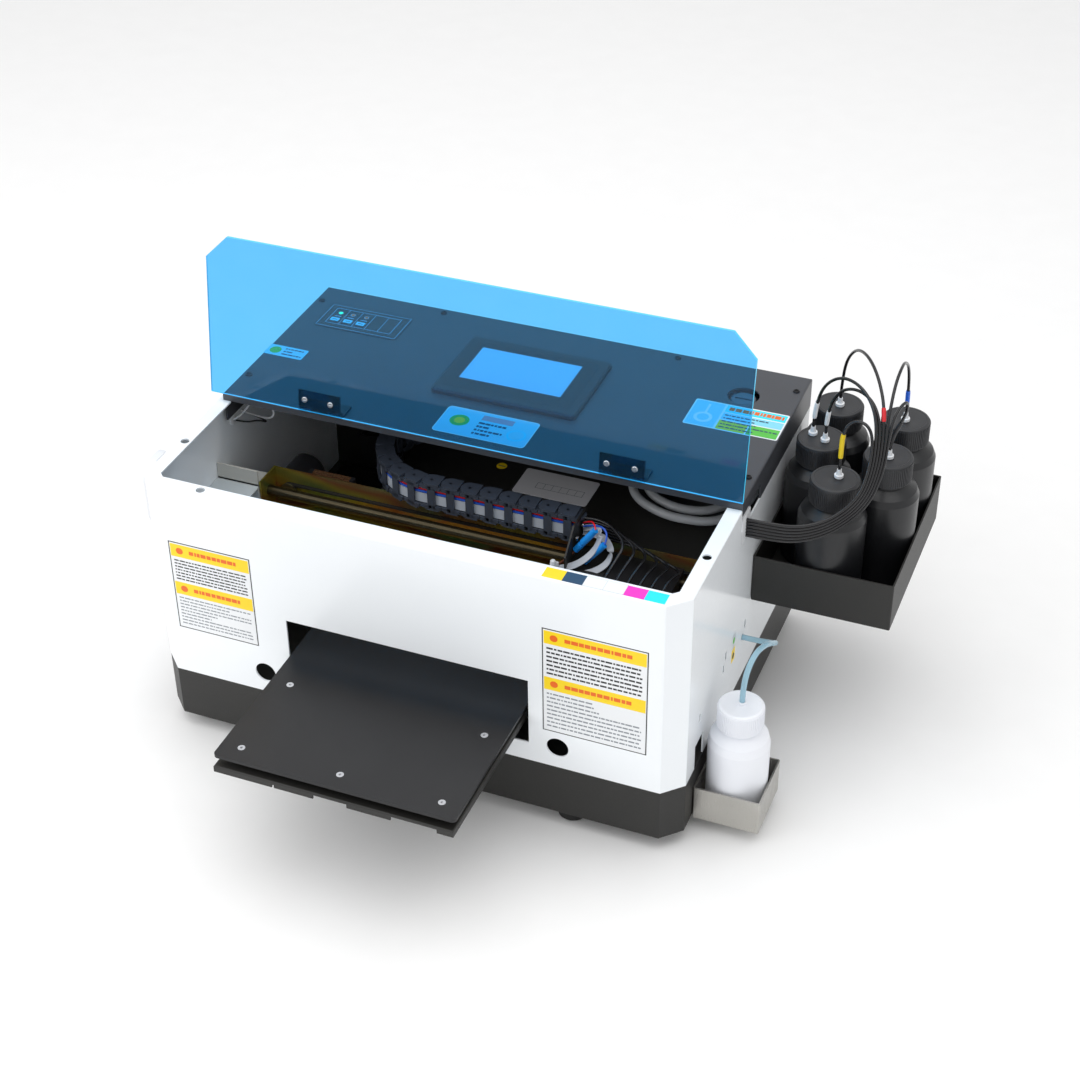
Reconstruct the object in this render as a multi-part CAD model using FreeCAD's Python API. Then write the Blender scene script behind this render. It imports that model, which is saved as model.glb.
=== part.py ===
"""Flatbed UV printer: a sheet-metal cabinet with a sliding platen, an ink carriage, bottles and a window.

Millimetres. Built with X across, Y from the front face backwards and Z up from the floor, then moved so that
the origin lies under the middle of the printer's outline.
"""
import FreeCAD, Part
import math
import os

V = FreeCAD.Vector
os.makedirs("parts", exist_ok=True)

# ---- cabinet ---------------------------------------------------------------------------------------------
WIDTH = 500.0             # cabinet across
DEPTH = 363.0             # cabinet front to back
FOOT_H = 14.0
FOOT_R = 14.0
FOOT_IN_X = 103.0         # foot centre in from the side
FOOT_IN_Y = 20.0          # foot centre in from the front and back
BASE_H = 53.0
SHELL_H = 199.5
SHEET = 1.5               # sheet-metal thickness
BEND = 1.4                # outer radius of a fold
CORNER = 17.3             # front corner chamfer
RIM_FRONT = 18.0          # rim width at the front
RIM_SIDE = 13.4           # rim width at the sides
RIM_END = 147.4           # how far back the rim runs
RIM_HOLE_R = 4.0
RIM_HOLE_Y = 74.3
FRONT_HOLE_R = 10.0
FRONT_HOLE_X = 140.0
FRONT_HOLE_UP = 22.0      # above the joint line
FLANGE = 10.0             # inward flange of the base
GAP = 0.3                 # assembly clearance between separate pieces
FIT = 0.05                # running clearance on a radius

# ---- deck and its panels ---------------------------------------------------------------------------------
DECK_T = 7.2
DECK_Y0 = 147.7
DECK_IN = 5.5             # left edge in from the cabinet side
DECK_FLANGE = 30.0        # folded side, measured from the deck top
REAR_FLANGE = 20.0
SCREW_R = 3.2
SCREW_H = 1.4
KEYPAD = (86.5, 44.0, 0.5)
KEYPAD_C = (-180.7, 311.7)
KEY = (10.0, 7.0, 1.1)
KEY_PITCH = 13.6
KEY_TRAVEL = 0.4
BEZEL = (140.0, 101.0, 5.0)
BEZEL_C = (2.0, 267.5)
GLASS = (122.0, 82.0, 1.2)
CAP_C = (200.0, 312.0)    # filler cap centre
CAP_R = 11.5
CAP_HOLE_R = 14.5
CAP_SINK = 3.0            # cap top below the deck top

# ---- window ----------------------------------------------------------------------------------------------
WINDOW_W = 503.0
WINDOW_L = 151.0
WINDOW_T = 3.0
WINDOW_CUT = 21.0
WINDOW_LEAN = 7.8         # degrees past upright when open
HINGE_X = 143.2
HINGE_W = 41.0
HINGE_LEAF = 20.0
HINGE_T = 2.0
HINGE_R = 3.0
PIN_R = 1.2
PIN_BEFORE_DECK = 1.2     # pin axis in front of the deck edge
SCREW_PITCH = 25.4

# ---- platen ----------------------------------------------------------------------------------------------
SLOT_W = 227.5
SLOT_LOW = 19.6           # above the joint line
SLOT_H = 68.5
PLATEN_W = 219.0
PLATEN_L = 320.0
PLATEN_T = 3.0
PLATEN_OUT = 144.5        # how far it stands out of the front
PLATEN_TOP = 121.7
PLATEN_TRAVEL = 155.0
PLATEN_CORNER = 4.0
TRAY_W = 217.0
TRAY_LIP = 6.5
TRAY_AHEAD = 2.5          # lip in front of the platen edge
SPACER_H = 7.0
SPACER_R = 5.0
BOLT_R = 3.2
ROD_R = 5.0
ROD_X = 50.0
ROD_LOW = 43.0
SLED_Y0 = 24.0
SLED_L = 120.0
SLED_W = 192.0
SLED_Z = 45.0
SLED_T = 5.0
SLEEVE_TOP = 88.0
SLEEVE_R = 10.0
RAIL_R = 6.0
RAIL_X = 80.0
RAIL_Z = 30.0
LEAD_R = 4.0
LEAD_Z = 37.5
MOTOR = 42.0
MOTOR_L = 38.0

# ---- carriage --------------------------------------------------------------------------------------------
FRAME_T = 1.6
FRAME_Y = 157.0           # front face of the upright plate
FRAME_X0 = -205.0
FRAME_Z0 = 160.0
FRAME_Z1 = 197.0
LEDGE = 45.0
LEDGE_LIP = 6.0
LEG_W = 24.0
ROD_Y = 143.0
ROD_Z = 180.0
BAR_R = 5.0               # carriage guide rod
CAR_X0 = 118.0
CAR_W = 88.0
CAR_Y0 = 60.0
CAR_D = 48.0
CAR_Z0 = 162.0
CAR_H = 34.0
CAR_TRAVEL = 250.0
HEAD = (50.0, 40.0, 30.0)
HEAD_Z0 = 158.0
LAMP = (28.0, 38.0, 42.0)
PULLEY_R = 6.4
PULLEY_W = 4.6
BELT_T = 1.2
BELT_W = 4.0
BELT_Y = 152.4
DRIVE_IN = 56.0           # drive pulley beyond the carriage at the end of its travel
IDLER_X = 222.0
PULLEY_Z = 176.0
SHAFT_R = 2.5

# ---- drag chain ------------------------------------------------------------------------------------------
CHAIN_Y = 151.0           # middle of the moving run
CHAIN_BEND_R = 62.0
CHAIN_D = 17.0            # across the links, seen from above
CHAIN_H = 28.0
CHAIN_BEND_X = -46.0      # where the bend starts
CHAIN_END_X = 104.0
CHAIN_FIX_X = 20.0
SHELF_X0 = -95.0
VENTS, VENT_X0, VENT_PITCH, VENT_W = 9, 60.0, 14.0, 6.0    # upright cooling slots in the rear panel
VENT_Z0, VENT_Z1 = 128.0, 178.0                            # under the inner shelf
BRACKET_T = 1.5

# ---- ink bottles and their tray --------------------------------------------------------------------------
INK_TRAY = (126.0, 183.0, 48.0)
INK_TRAY_Y0 = 190.0
INK_TRAY_Z0 = 142.0
BOTTLE_R = 30.0
BOTTLE_SHOULDER = 86.0    # height of the straight body
NECK_R = 19.0
CAP_BOTTLE_R = 22.3
CAP_BOTTLE_H = 22.0
BOTTLE_TOP = 101.5        # cap underside above the bottle foot
BOTTLES_OUT = {"yellow": (60.0, 222.5), "white": (32.2, 280.0), "magenta": (32.2, 341.0),
               "black": (94.0, 273.5), "cyan": (94.0, 337.5)}      # out from the cabinet's side, back
TUBE_R = 1.4
BARB_R = 2.6
LANE = 3.3                # spacing of tubes in the flat ribbon
NOTCH = (150.5, 173.5, 228.0)

# ---- waste bottle ----------------------------------------------------------------------------------------
WASTE_TRAY = (60.0, 61.5, 35.0)
WASTE_TRAY_Y0 = 38.0
WASTE_TRAY_Z0 = 12.0
WASTE_OUT = (30.3, 69.0)                                           # out from the cabinet's side, back
WASTE_R = 27.0
WASTE_BODY = 72.0
WASTE_NECK_R = 17.0
WASTE_CAP_R = 20.5
WASTE_CAP_H = 22.0
WASTE_TOP = 90.5
WASTE_TUBE_R = 2.5

SIDE_COVER = (25.0, 66.0, 200.0, 266.0)
SIDE_COVER_T = 7.8

# ---- inside ----------------------------------------------------------------------------------------------
TANK = (165.0, 240.0, 272.0, 355.0)
TANK_H = 52.0
HOSE_R = 4.0
HOSE_UP = 10.0            # hose axis above the shelf
HOSE_ROUTES = {
    "hose_inner": [(165, 300), (148, 300), (131, 282), (128, 252), (142, 224), (170, 212), (198, 216),
                   (215, 236), (217, 255), (217, 272)],
    "hose_outer": [(165, 314), (144, 314), (121, 291), (115, 254), (129, 216), (166, 197), (206, 201),
                   (226, 224), (229, 252), (229, 272)],
}
SUPPLY = (-205.0, -105.0, 300.0, 158.0, 222.0)
INLET = (48.0, 30.0)
INLET_X = -210.0
INLET_Z = 90.0
ROCKER = (13.0, 20.0)
ROCKER_TIP = 7.0
PIVOT_R = 1.5
PIVOT_OUT = 1.5           # how far each pivot pin reaches into the well's wall

# ---- tubes outside ---------------------------------------------------------------------------------------
# Each ink tube stands up from its fitting and arches over; from there it keeps its own lane of the ribbon.
INK_ARCHES = {
    "yellow": [(312, 225, 275), (312, 225, 287), (311, 231, 311), (320, 232, 322), (332, 229, 322)],
    "white_a": [(273, 283, 275), (273, 283, 287), (277, 281, 312), (286, 275, 329), (299, 267, 340),
                (313, 257, 343), (326, 246, 340), (336, 236, 329)],
    "white_b": [(286, 276, 275), (286, 276, 287), (289, 274, 308), (297, 270, 324), (308, 263, 333),
                (320, 254, 337), (331, 245, 335), (339, 237, 326)],
    "magenta": [(283, 338, 275), (283, 338, 287), (286, 333, 316), (295, 321, 336), (306, 303, 348),
                (319, 283, 351), (331, 263, 346), (341, 245, 333)],
    "cyan": [(344, 334, 275), (344, 334, 287), (344, 330, 314), (344, 319, 333), (344, 302, 345),
             (345, 284, 350), (345, 265, 346), (346, 247, 333)],
    "black": [(345, 270, 275), (345, 270, 287), (355, 272, 311), (357, 267, 327), (355, 258, 332),
              (351, 246, 327)],
}
# Middle of the bundle down to the grommet, each with the direction in which the tubes lie side by side.
BUNDLE = [((344, 230, 312), (-0.66, -0.75, 0.0)), ((345, 219, 286), (-0.62, -0.68, 0.39)),
          ((340, 203, 262), (-0.45, -0.5, 0.74)), ((320, 187, 243), (-0.2, -0.3, 0.93)),
          ((294, 175, 234), (0.0, -0.1, 1.0)), ((268, 162, 240), (0.0, 0.0, 1.0)),
          ((WIDTH / 2, 162, 240), (0.0, 0.0, 1.0))]
WASTE_POINTS = [(245, 172, 113), (265, 172, 113), (282, 163, 122), (288, 142, 140), (286, 115, 158),
                (283, 89, 165)]
WASTE_DROP = 22.0         # upright end of the waste tube above its nipple

# ---- values that follow ----------------------------------------------------------------------------------
HALF = WIDTH / 2
JOINT_Z = FOOT_H + BASE_H
RIM_Z = JOINT_Z + SHELL_H
DECK_Z = RIM_Z + DECK_T
WALL_TOP = DECK_Z - DECK_FLANGE - GAP
IN_X = HALF - SHEET
FLOOR_Z = FOOT_H + SHEET
REAR_IN = DEPTH - SHEET
PLATEN_Y0 = -PLATEN_OUT
TRAY_Z1 = PLATEN_TOP - PLATEN_T - SPACER_H
TRAY_Y0 = PLATEN_Y0 - TRAY_AHEAD
SLED_Y1 = SLED_Y0 + SLED_L
ROD_YS = (SLED_Y0 + 12, SLED_Y1 - 12)
PIN_Y = DECK_Y0 - PIN_BEFORE_DECK
PIN_Z = DECK_Z + HINGE_R + 0.2
BOTTLES = {ink: (HALF + x, y) for ink, (x, y) in BOTTLES_OUT.items()}
WASTE_C = (HALF + WASTE_OUT[0], WASTE_OUT[1])
INK_X1 = HALF + GAP + INK_TRAY[0]
INK_Y1 = INK_TRAY_Y0 + INK_TRAY[1]
BOTTLE_Z0 = INK_TRAY_Z0 + SHEET
INK_CAP_Z = BOTTLE_Z0 + BOTTLE_TOP + CAP_BOTTLE_H
CHAIN_Z0 = FRAME_Z1 + 1.0
SHELF_Z1 = CHAIN_Z0 - 0.6
CHAIN_FIX_Y = CHAIN_Y + 2 * CHAIN_BEND_R
WASTE_Z0 = WASTE_TRAY_Z0 + SHEET
WASTE_CAP_Z = WASTE_Z0 + WASTE_TOP + WASTE_CAP_H
FRAME_X1 = IN_X - GAP
HEAD_X0 = CAR_X0 + 14
DRIVE_X = CAR_X0 - CAR_TRAVEL - DRIVE_IN
MOTOR_Y0 = SLED_Y1 + PLATEN_TRAVEL + 15
RAIL_Y1 = REAR_IN - 9.5
KEYS_AT = [(KEYPAD_C[0] - 27.8 + KEY_PITCH * i, KEYPAD_C[1] - 6.2) for i in range(3)]
SCREWS_X = [s * HINGE_X + d for s in (-1, 1) for d in (-SCREW_PITCH / 2, SCREW_PITCH / 2)]
PLATEN_BOLTS = [(x, y) for x in (-91.0, 0.0, 91.0) for y in (PLATEN_Y0 + 16, PLATEN_Y0 + 103)
                if (x, y) != (0.0, PLATEN_Y0 + 103)]
DAMPER_X = [CAR_X0 + 29 + 10.4 * i for i in range(6)]
WASTE_NIPPLE = (WASTE_C[0], WASTE_C[1] + 2.0, WASTE_CAP_Z + 1.5)
MOVE = V(-(INK_X1 - HALF - GAP - SIDE_COVER_T) / 2, -(INK_Y1 + TRAY_Y0) / 2, 0)


# ---- shapes ----------------------------------------------------------------------------------------------
def box(x0, x1, y0, y1, z0, z1):
    """A box between two corners."""
    return Part.makeBox(x1 - x0, y1 - y0, z1 - z0, V(x0, y0, z0))


def rod(x, y, z, radius, length, axis=V(0, 0, 1)):
    """A cylinder from a point along an axis."""
    return Part.makeCylinder(radius, length, V(x, y, z), axis)


def prism(points, z0, z1):
    """A vertical prism on a plan outline."""
    face = Part.Face(Part.makePolygon([V(x, y, z0) for x, y in points + points[:1]]))
    return face.extrude(V(0, 0, z1 - z0))


def slab(cx, cy, w, d, z0, z1, corner):
    """A plate with rounded upright corners."""
    plate = box(cx - w / 2, cx + w / 2, cy - d / 2, cy + d / 2, z0, z1)
    upright = [e for e in plate.Edges if abs(e.Vertexes[0].Z - e.Vertexes[-1].Z) > 0.1]
    return plate.makeFillet(corner, upright)


def outline(inset=0.0):
    """The cabinet's plan with its two chamfered front corners, drawn in by an inset."""
    h = HALF - inset
    cut = CORNER - inset * math.tan(math.radians(22.5))
    return [(-h + cut, inset), (h - cut, inset), (h, inset + cut), (h, DEPTH - inset),
            (-h, DEPTH - inset), (-h, inset + cut)]


def softened(shape, radius, keep=lambda edge: True):
    """Round the chosen outer edges of a folded sheet-metal shape."""
    return shape.makeFillet(radius, [e for e in shape.Edges if keep(e)])


def tray_box(x0, y0, z0, size, wall=SHEET):
    """An open folded tray."""
    w, d, h = size
    outer = box(x0, x0 + w, y0, y0 + d, z0, z0 + h)
    outer = softened(outer, BEND, lambda e: e.BoundBox.ZMin < z0 + h - 1)
    return outer.cut(box(x0 + wall, x0 + w - wall, y0 + wall, y0 + d - wall, z0 + wall, z0 + h + 1))


def spin(profile, x, y):
    """A body of revolution from (radius, height) points about an upright axis."""
    points = [V(x + r, y, z) for r, z in profile]
    face = Part.Face(Part.makePolygon(points + points[:1]))
    return face.revolve(V(x, y, 0), V(0, 0, 1), 360)


def joined(first, *others):
    """Fuse pieces into one solid without leftover seams."""
    return first.fuse(list(others)).removeSplitter()


def route(name, points, radius):
    """A tube along straight runs joined by arcs; prints its tightest bend and a volume check."""
    pts = [V(*p) for p in points]
    edges, here, tight, length = [], pts[0], 1e9, 0.0
    for a, b, c in zip(pts, pts[1:], pts[2:]):
        u, w = (b - a).normalize(), (c - b).normalize()
        turn = u.getAngle(w)
        reach = 0.45 * min((b - a).Length, (c - b).Length)
        bend = reach / math.tan(turn / 2)
        start, end = b - u * reach, b + w * reach
        middle = b + (w - u).normalize() * (bend / math.cos(turn / 2) - bend)
        edges += [Part.LineSegment(here, start).toShape(), Part.Arc(start, middle, end).toShape()]
        length += (start - here).Length + bend * turn
        tight, here = min(tight, bend), end
    edges.append(Part.LineSegment(here, pts[-1]).toShape())
    length += (pts[-1] - here).Length
    ring = Part.Wire(Part.makeCircle(radius, pts[0], pts[1] - pts[0]))
    tube = Part.Wire(edges).makePipeShell([ring], True, False)
    ratio = tube.Volume / (math.pi * radius ** 2 * length)
    print("%-16s length %6.1f tightest radius %5.1f volume ratio %.4f" % (name, length, tight, ratio))
    return tube


def export(name, *solids):
    """Write one node as STEP in the printer's own frame."""
    shape = solids[0] if len(solids) == 1 else Part.makeCompound(list(solids))
    shape = shape.copy()
    shape.translate(MOVE)
    shape.exportStep("parts/%s.step" % name)


# ---- cabinet ---------------------------------------------------------------------------------------------
def base_box():
    body = softened(prism(outline(), FOOT_H, JOINT_Z), BEND, lambda e: e.BoundBox.ZMin < JOINT_Z - 1)
    body = body.cut(prism(outline(SHEET), FLOOR_Z, JOINT_Z - SHEET))
    return body.cut(prism(outline(FLANGE), FLOOR_Z, JOINT_Z + 1))


def rubber_feet():
    feet = []
    for x in (-HALF + FOOT_IN_X, HALF - FOOT_IN_X):
        for y in (FOOT_IN_Y, DEPTH - FOOT_IN_Y):
            profile = [(0, 3), (4, 3), (4, 0), (FOOT_R - 2, 0), (FOOT_R - 0.5, 1.5), (FOOT_R, FOOT_H), (0, FOOT_H)]
            feet.append(spin(profile, x, y))
    return feet


def outer_shell():
    body = softened(prism(outline(), JOINT_Z, RIM_Z), BEND, lambda e: e.BoundBox.ZMax > JOINT_Z + 1)
    body = body.cut(prism(outline(SHEET), JOINT_Z - 1, RIM_Z - SHEET))
    opening = [(-HALF + RIM_SIDE + 4.5, RIM_FRONT), (HALF - RIM_SIDE - 4.5, RIM_FRONT),
               (HALF - RIM_SIDE, RIM_FRONT + 4.5), (HALF - RIM_SIDE, DEPTH), (-HALF + DECK_IN - 0.5, DEPTH),
               (-HALF + DECK_IN - 0.5, RIM_END), (-HALF + RIM_SIDE, RIM_END), (-HALF + RIM_SIDE, RIM_FRONT + 4.5)]
    body = body.cut(prism(opening, RIM_Z - 5, RIM_Z + 1))
    body = body.cut(box(0, HALF + 1, RIM_END, DEPTH + 1, WALL_TOP, RIM_Z + 1))
    body = body.cut(box(-IN_X, IN_X, REAR_IN - 1, DEPTH + 1, JOINT_Z - 1, RIM_Z))
    slot_z = JOINT_Z + SLOT_LOW
    body = body.cut(box(-SLOT_W / 2, SLOT_W / 2, -1, SHEET + 1, slot_z, slot_z + SLOT_H))
    for x in (-FRONT_HOLE_X, FRONT_HOLE_X):
        body = body.cut(rod(x, -1, JOINT_Z + FRONT_HOLE_UP, FRONT_HOLE_R, SHEET + 2, V(0, 1, 0)))
    for x in (-HALF + 7.6, HALF - 7.6):
        body = body.cut(rod(x, RIM_HOLE_Y, RIM_Z - 5, RIM_HOLE_R, 6))
    body = body.cut(rod(-191.4, 11.5, RIM_Z - 5, RIM_HOLE_R, 6))
    body = body.cut(box(IN_X - 1, HALF + 1, NOTCH[0], NOTCH[1], NOTCH[2], WALL_TOP + 1))
    body = body.cut(box(IN_X - 1, HALF + 1, 40, 63, JOINT_Z - 1, JOINT_Z + 25))
    for y, z in ((177.6, 124.0), (120.7, 130.0), (115.4, 119.0), (50.4, 115.8)):
        body = body.cut(box(IN_X - 1, HALF + 1, y - 2, y + 2, z - 4.5, z + 4.5))
    return body.cut(rod(IN_X - 1, WASTE_POINTS[0][1], WASTE_POINTS[0][2], WASTE_TUBE_R + 0.8, SHEET + 2, V(1, 0, 0)))


def rear_panel():
    panel = joined(box(-IN_X + GAP, IN_X - GAP, REAR_IN, DEPTH, JOINT_Z, WALL_TOP),
                   box(-HALF + DECK_IN + SHEET + GAP, IN_X - GAP, REAR_IN, DEPTH, WALL_TOP - 1,
                       DECK_Z - REAR_FLANGE - GAP))
    for i in range(VENTS):
        x = VENT_X0 + VENT_PITCH * i
        panel = panel.cut(box(x, x + VENT_W, REAR_IN - 1, DEPTH + 1, VENT_Z0, VENT_Z1))
    return panel.cut(box(INLET_X, INLET_X + INLET[0], REAR_IN - 1, DEPTH + 1, INLET_Z, INLET_Z + INLET[1]))


def deck_cover():
    x0, x1 = -HALF + DECK_IN, HALF
    body = box(x0, x1, DECK_Y0, DEPTH, DECK_Z - DECK_FLANGE, DECK_Z)
    ridge = [e for e in body.Edges if min(v.Z for v in e.Vertexes) > DECK_Z - 0.1]
    body = body.makeFillet(SHEET + 0.5, ridge)
    body = body.cut(box(x0 + SHEET, x1 - SHEET, DECK_Y0 + SHEET, DEPTH - SHEET, 0, DECK_Z - SHEET))
    body = body.cut(box(x0 - 1, x1 + 1, DECK_Y0 - 1, DECK_Y0 + SHEET, 0, RIM_Z))
    body = body.cut(box(x0 + SHEET, x1 - SHEET, DEPTH - SHEET - 1, DEPTH + 1, 0, DECK_Z - REAR_FLANGE))
    body = body.cut(box(x1 - SHEET - 1, x1 + 1, DECK_Y0 - 1, 203, 0, 259.5))
    body = body.cut(rod(CAP_C[0], CAP_C[1], DECK_Z - 5, CAP_HOLE_R, 6))
    for i in range(3):
        x, y = KEYS_AT[i]
        body = body.cut(box(x - KEY[0] / 2 - 1, x + KEY[0] / 2 + 1, y - KEY[1] / 2 - 1, y + KEY[1] / 2 + 1,
                            DECK_Z - 5, DECK_Z + 1))
    return body


def deck_screws():
    spots = ((-237.2, 334.9), (-115.3, 354.3), (123.3, 354.1), (242.6, 335.4), (242.6, 186.6), (-237.2, 185.3))
    return [spin([(0, 0.9), (1.4, 0.9), (1.4, SCREW_H), (SCREW_R - 0.8, SCREW_H), (SCREW_R, 0.4), (SCREW_R, 0),
                  (0, 0)], x, y).translated(V(0, 0, DECK_Z)) for x, y in spots]


def keypad_overlay():
    plate = slab(KEYPAD_C[0], KEYPAD_C[1], KEYPAD[0], KEYPAD[1], DECK_Z, DECK_Z + KEYPAD[2], 4)
    for x, y in KEYS_AT:
        plate = plate.cut(box(x - KEY[0] / 2 - GAP, x + KEY[0] / 2 + GAP, y - KEY[1] / 2 - GAP,
                              y + KEY[1] / 2 + GAP, DECK_Z - 1, DECK_Z + 2))
    return plate


def key(i):
    x, y = KEYS_AT[i]
    top = DECK_Z + KEYPAD[2] + KEY_TRAVEL + 0.1
    cap = box(x - KEY[0] / 2, x + KEY[0] / 2, y - KEY[1] / 2, y + KEY[1] / 2, top - KEY[2], top)
    return cap.makeFillet(0.3, [e for e in cap.Edges if min(v.Z for v in e.Vertexes) > top - 0.1])


def screen_bezel():
    body = slab(BEZEL_C[0], BEZEL_C[1], BEZEL[0], BEZEL[1], DECK_Z, DECK_Z + BEZEL[2], 4)
    top = [e for e in body.Edges if min(v.Z for v in e.Vertexes) > DECK_Z + BEZEL[2] - 0.1]
    body = body.makeChamfer(1.5, top)
    return body.cut(slab(BEZEL_C[0], BEZEL_C[1], GLASS[0] + GAP, GLASS[1] + GAP,
                         DECK_Z + BEZEL[2] - GLASS[2], DECK_Z + BEZEL[2] + 1, 2))


def screen_glass():
    top = DECK_Z + BEZEL[2]
    return slab(BEZEL_C[0], BEZEL_C[1], GLASS[0], GLASS[1], top - GLASS[2], top, 2)


def side_cover():
    y0, y1, z0, z1 = SIDE_COVER
    plate = box(-HALF - SIDE_COVER_T - GAP, -HALF - GAP, y0, y1, z0, z1)
    along = [e for e in plate.Edges if abs(e.Vertexes[0].X - e.Vertexes[-1].X) > 1]
    plate = plate.makeFillet(16, along)
    return plate.cut(box(-HALF - SIDE_COVER_T - 1, -HALF - 3, 40, 52, z1 - 12, z1 - 8))


# ---- window ----------------------------------------------------------------------------------------------
def lean(shape):
    """Tip an upright piece back about the hinge pin to its open rest."""
    return shape.rotated(V(0, PIN_Y, PIN_Z), V(1, 0, 0), -WINDOW_LEAN)


def knuckle(x0, x1):
    return rod(x0, PIN_Y, PIN_Z, HINGE_R, x1 - x0, V(1, 0, 0))


def window_panel():
    y1 = PIN_Y - HINGE_R - 0.2
    h, z0 = WINDOW_W / 2, PIN_Z + 0.5
    z1 = z0 + WINDOW_L
    points = [V(-h, y1, z0), V(h, y1, z0), V(h, y1, z1 - WINDOW_CUT), V(h - WINDOW_CUT, y1, z1),
              V(-h + WINDOW_CUT, y1, z1), V(-h, y1, z1 - WINDOW_CUT), V(-h, y1, z0)]
    panel = Part.Face(Part.makePolygon(points)).extrude(V(0, -WINDOW_T, 0))
    for x in SCREWS_X:
        panel = panel.cut(rod(x, y1 + 1, PIN_Z + 12, PIN_R, WINDOW_T + 2, V(0, -1, 0)))
    return lean(panel)


def hinge_upper_leaves():
    leaves = []
    for s in (-1, 1):
        x0, x1 = s * HINGE_X - HINGE_W / 2, s * HINGE_X + HINGE_W / 2
        y1 = PIN_Y - HINGE_R - 0.2 + HINGE_T
        leaf = box(x0, x1, y1 - HINGE_T, y1, PIN_Z + HINGE_R + 0.5, PIN_Z + HINGE_LEAF)
        tab = box(x0 + 12, x1 - 12, y1 - HINGE_T, y1, PIN_Z, PIN_Z + HINGE_R + 1)
        leaf = joined(leaf, tab, knuckle(x0 + 12, x1 - 12))
        leaf = leaf.cut(rod(x0, PIN_Y, PIN_Z, PIN_R + FIT, HINGE_W, V(1, 0, 0)))
        for x in SCREWS_X:
            leaf = leaf.cut(rod(x, y1 + 1, PIN_Z + 12, PIN_R, HINGE_T + 2, V(0, -1, 0)))
        leaves.append(lean(leaf))
    return leaves


def hinge_lower_leaves():
    leaves = []
    for s in (-1, 1):
        x0, x1 = s * HINGE_X - HINGE_W / 2, s * HINGE_X + HINGE_W / 2
        leaf = box(x0, x1, PIN_Y + HINGE_R + 0.5, PIN_Y + HINGE_LEAF, DECK_Z, DECK_Z + HINGE_T)
        parts = []
        for a, b in ((x0, x0 + 12 - GAP), (x1 - 12 + GAP, x1)):
            parts += [knuckle(a, b), box(a, b, PIN_Y, PIN_Y + HINGE_R + 1, DECK_Z + 0.2, DECK_Z + HINGE_T)]
        leaves.append(joined(leaf, rod(x0, PIN_Y, PIN_Z, PIN_R, HINGE_W, V(1, 0, 0)), *parts))
    return leaves


def window_screws():
    screws = []
    face = PIN_Y - HINGE_R - 0.2 - WINDOW_T
    for x in SCREWS_X:
        head = rod(x, face, PIN_Z + 12, 2.9, 1.9, V(0, -1, 0))
        head = head.makeFillet(0.8, [e for e in head.Edges if e.BoundBox.YMax < face - 1.5])
        head = head.cut(box(x - 2, x + 2, face - 2.5, face - 1.3, PIN_Z + 11.6, PIN_Z + 12.4))
        shank = rod(x, face, PIN_Z + 12, PIN_R, WINDOW_T + HINGE_T, V(0, 1, 0))
        screws.append(lean(joined(head, shank)))
    return screws


# ---- filler and cooling ----------------------------------------------------------------------------------
def water_tank():
    x0, x1, y0, y1 = TANK
    z0, z1 = SHELF_Z1, SHELF_Z1 + TANK_H
    body = slab((x0 + x1) / 2, (y0 + y1) / 2, x1 - x0, y1 - y0, z0, z1, 5)
    body = joined(body, rod(CAP_C[0], CAP_C[1], z1 - 1, CAP_R, DECK_Z - CAP_SINK - 4.3 - z1))
    return body.cut(rod(CAP_C[0], CAP_C[1], z1 - 20, CAP_R - 3, DECK_Z - z1 + 20))


def filler_cap():
    z1 = DECK_Z - CAP_SINK
    cap = rod(CAP_C[0], CAP_C[1], z1 - 5, CAP_R, 5)
    cap = cap.makeChamfer(0.8, [e for e in cap.Edges if e.BoundBox.ZMin > z1 - 0.1])
    cap = joined(cap, rod(CAP_C[0], CAP_C[1], z1 - 12, CAP_R - 3 - FIT, 8))
    return cap.cut(box(CAP_C[0] - 8, CAP_C[0] + 8, CAP_C[1] - 1.2, CAP_C[1] + 1.2, z1 - 2.5, z1 + 1))


def cooling_hoses():
    z = SHELF_Z1 + HOSE_UP
    return [route(name, [(x, y, z) for x, y in points], HOSE_R) for name, points in HOSE_ROUTES.items()]


# ---- platen ----------------------------------------------------------------------------------------------
def countersink(x, y, grow=0.0):
    z1 = PLATEN_TOP
    return spin([(0, z1 - PLATEN_T - 4), (1.5 + grow, z1 - PLATEN_T - 4), (1.5 + grow, z1 - 1.8),
                 (BOLT_R + grow, z1), (0, z1)], x, y)


def platen_plate():
    plate = slab(0, PLATEN_Y0 + PLATEN_L / 2, PLATEN_W, PLATEN_L, PLATEN_TOP - PLATEN_T, PLATEN_TOP, PLATEN_CORNER)
    for x, y in PLATEN_BOLTS:
        plate = plate.cut(countersink(x, y, 0.02))
    return plate


def platen_bolts():
    bolts = []
    for x, y in PLATEN_BOLTS:
        socket = rod(x, y, PLATEN_TOP - 1.2, 1.2, 2)
        bolts.append(countersink(x, y).cut(socket))
    return bolts


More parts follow.
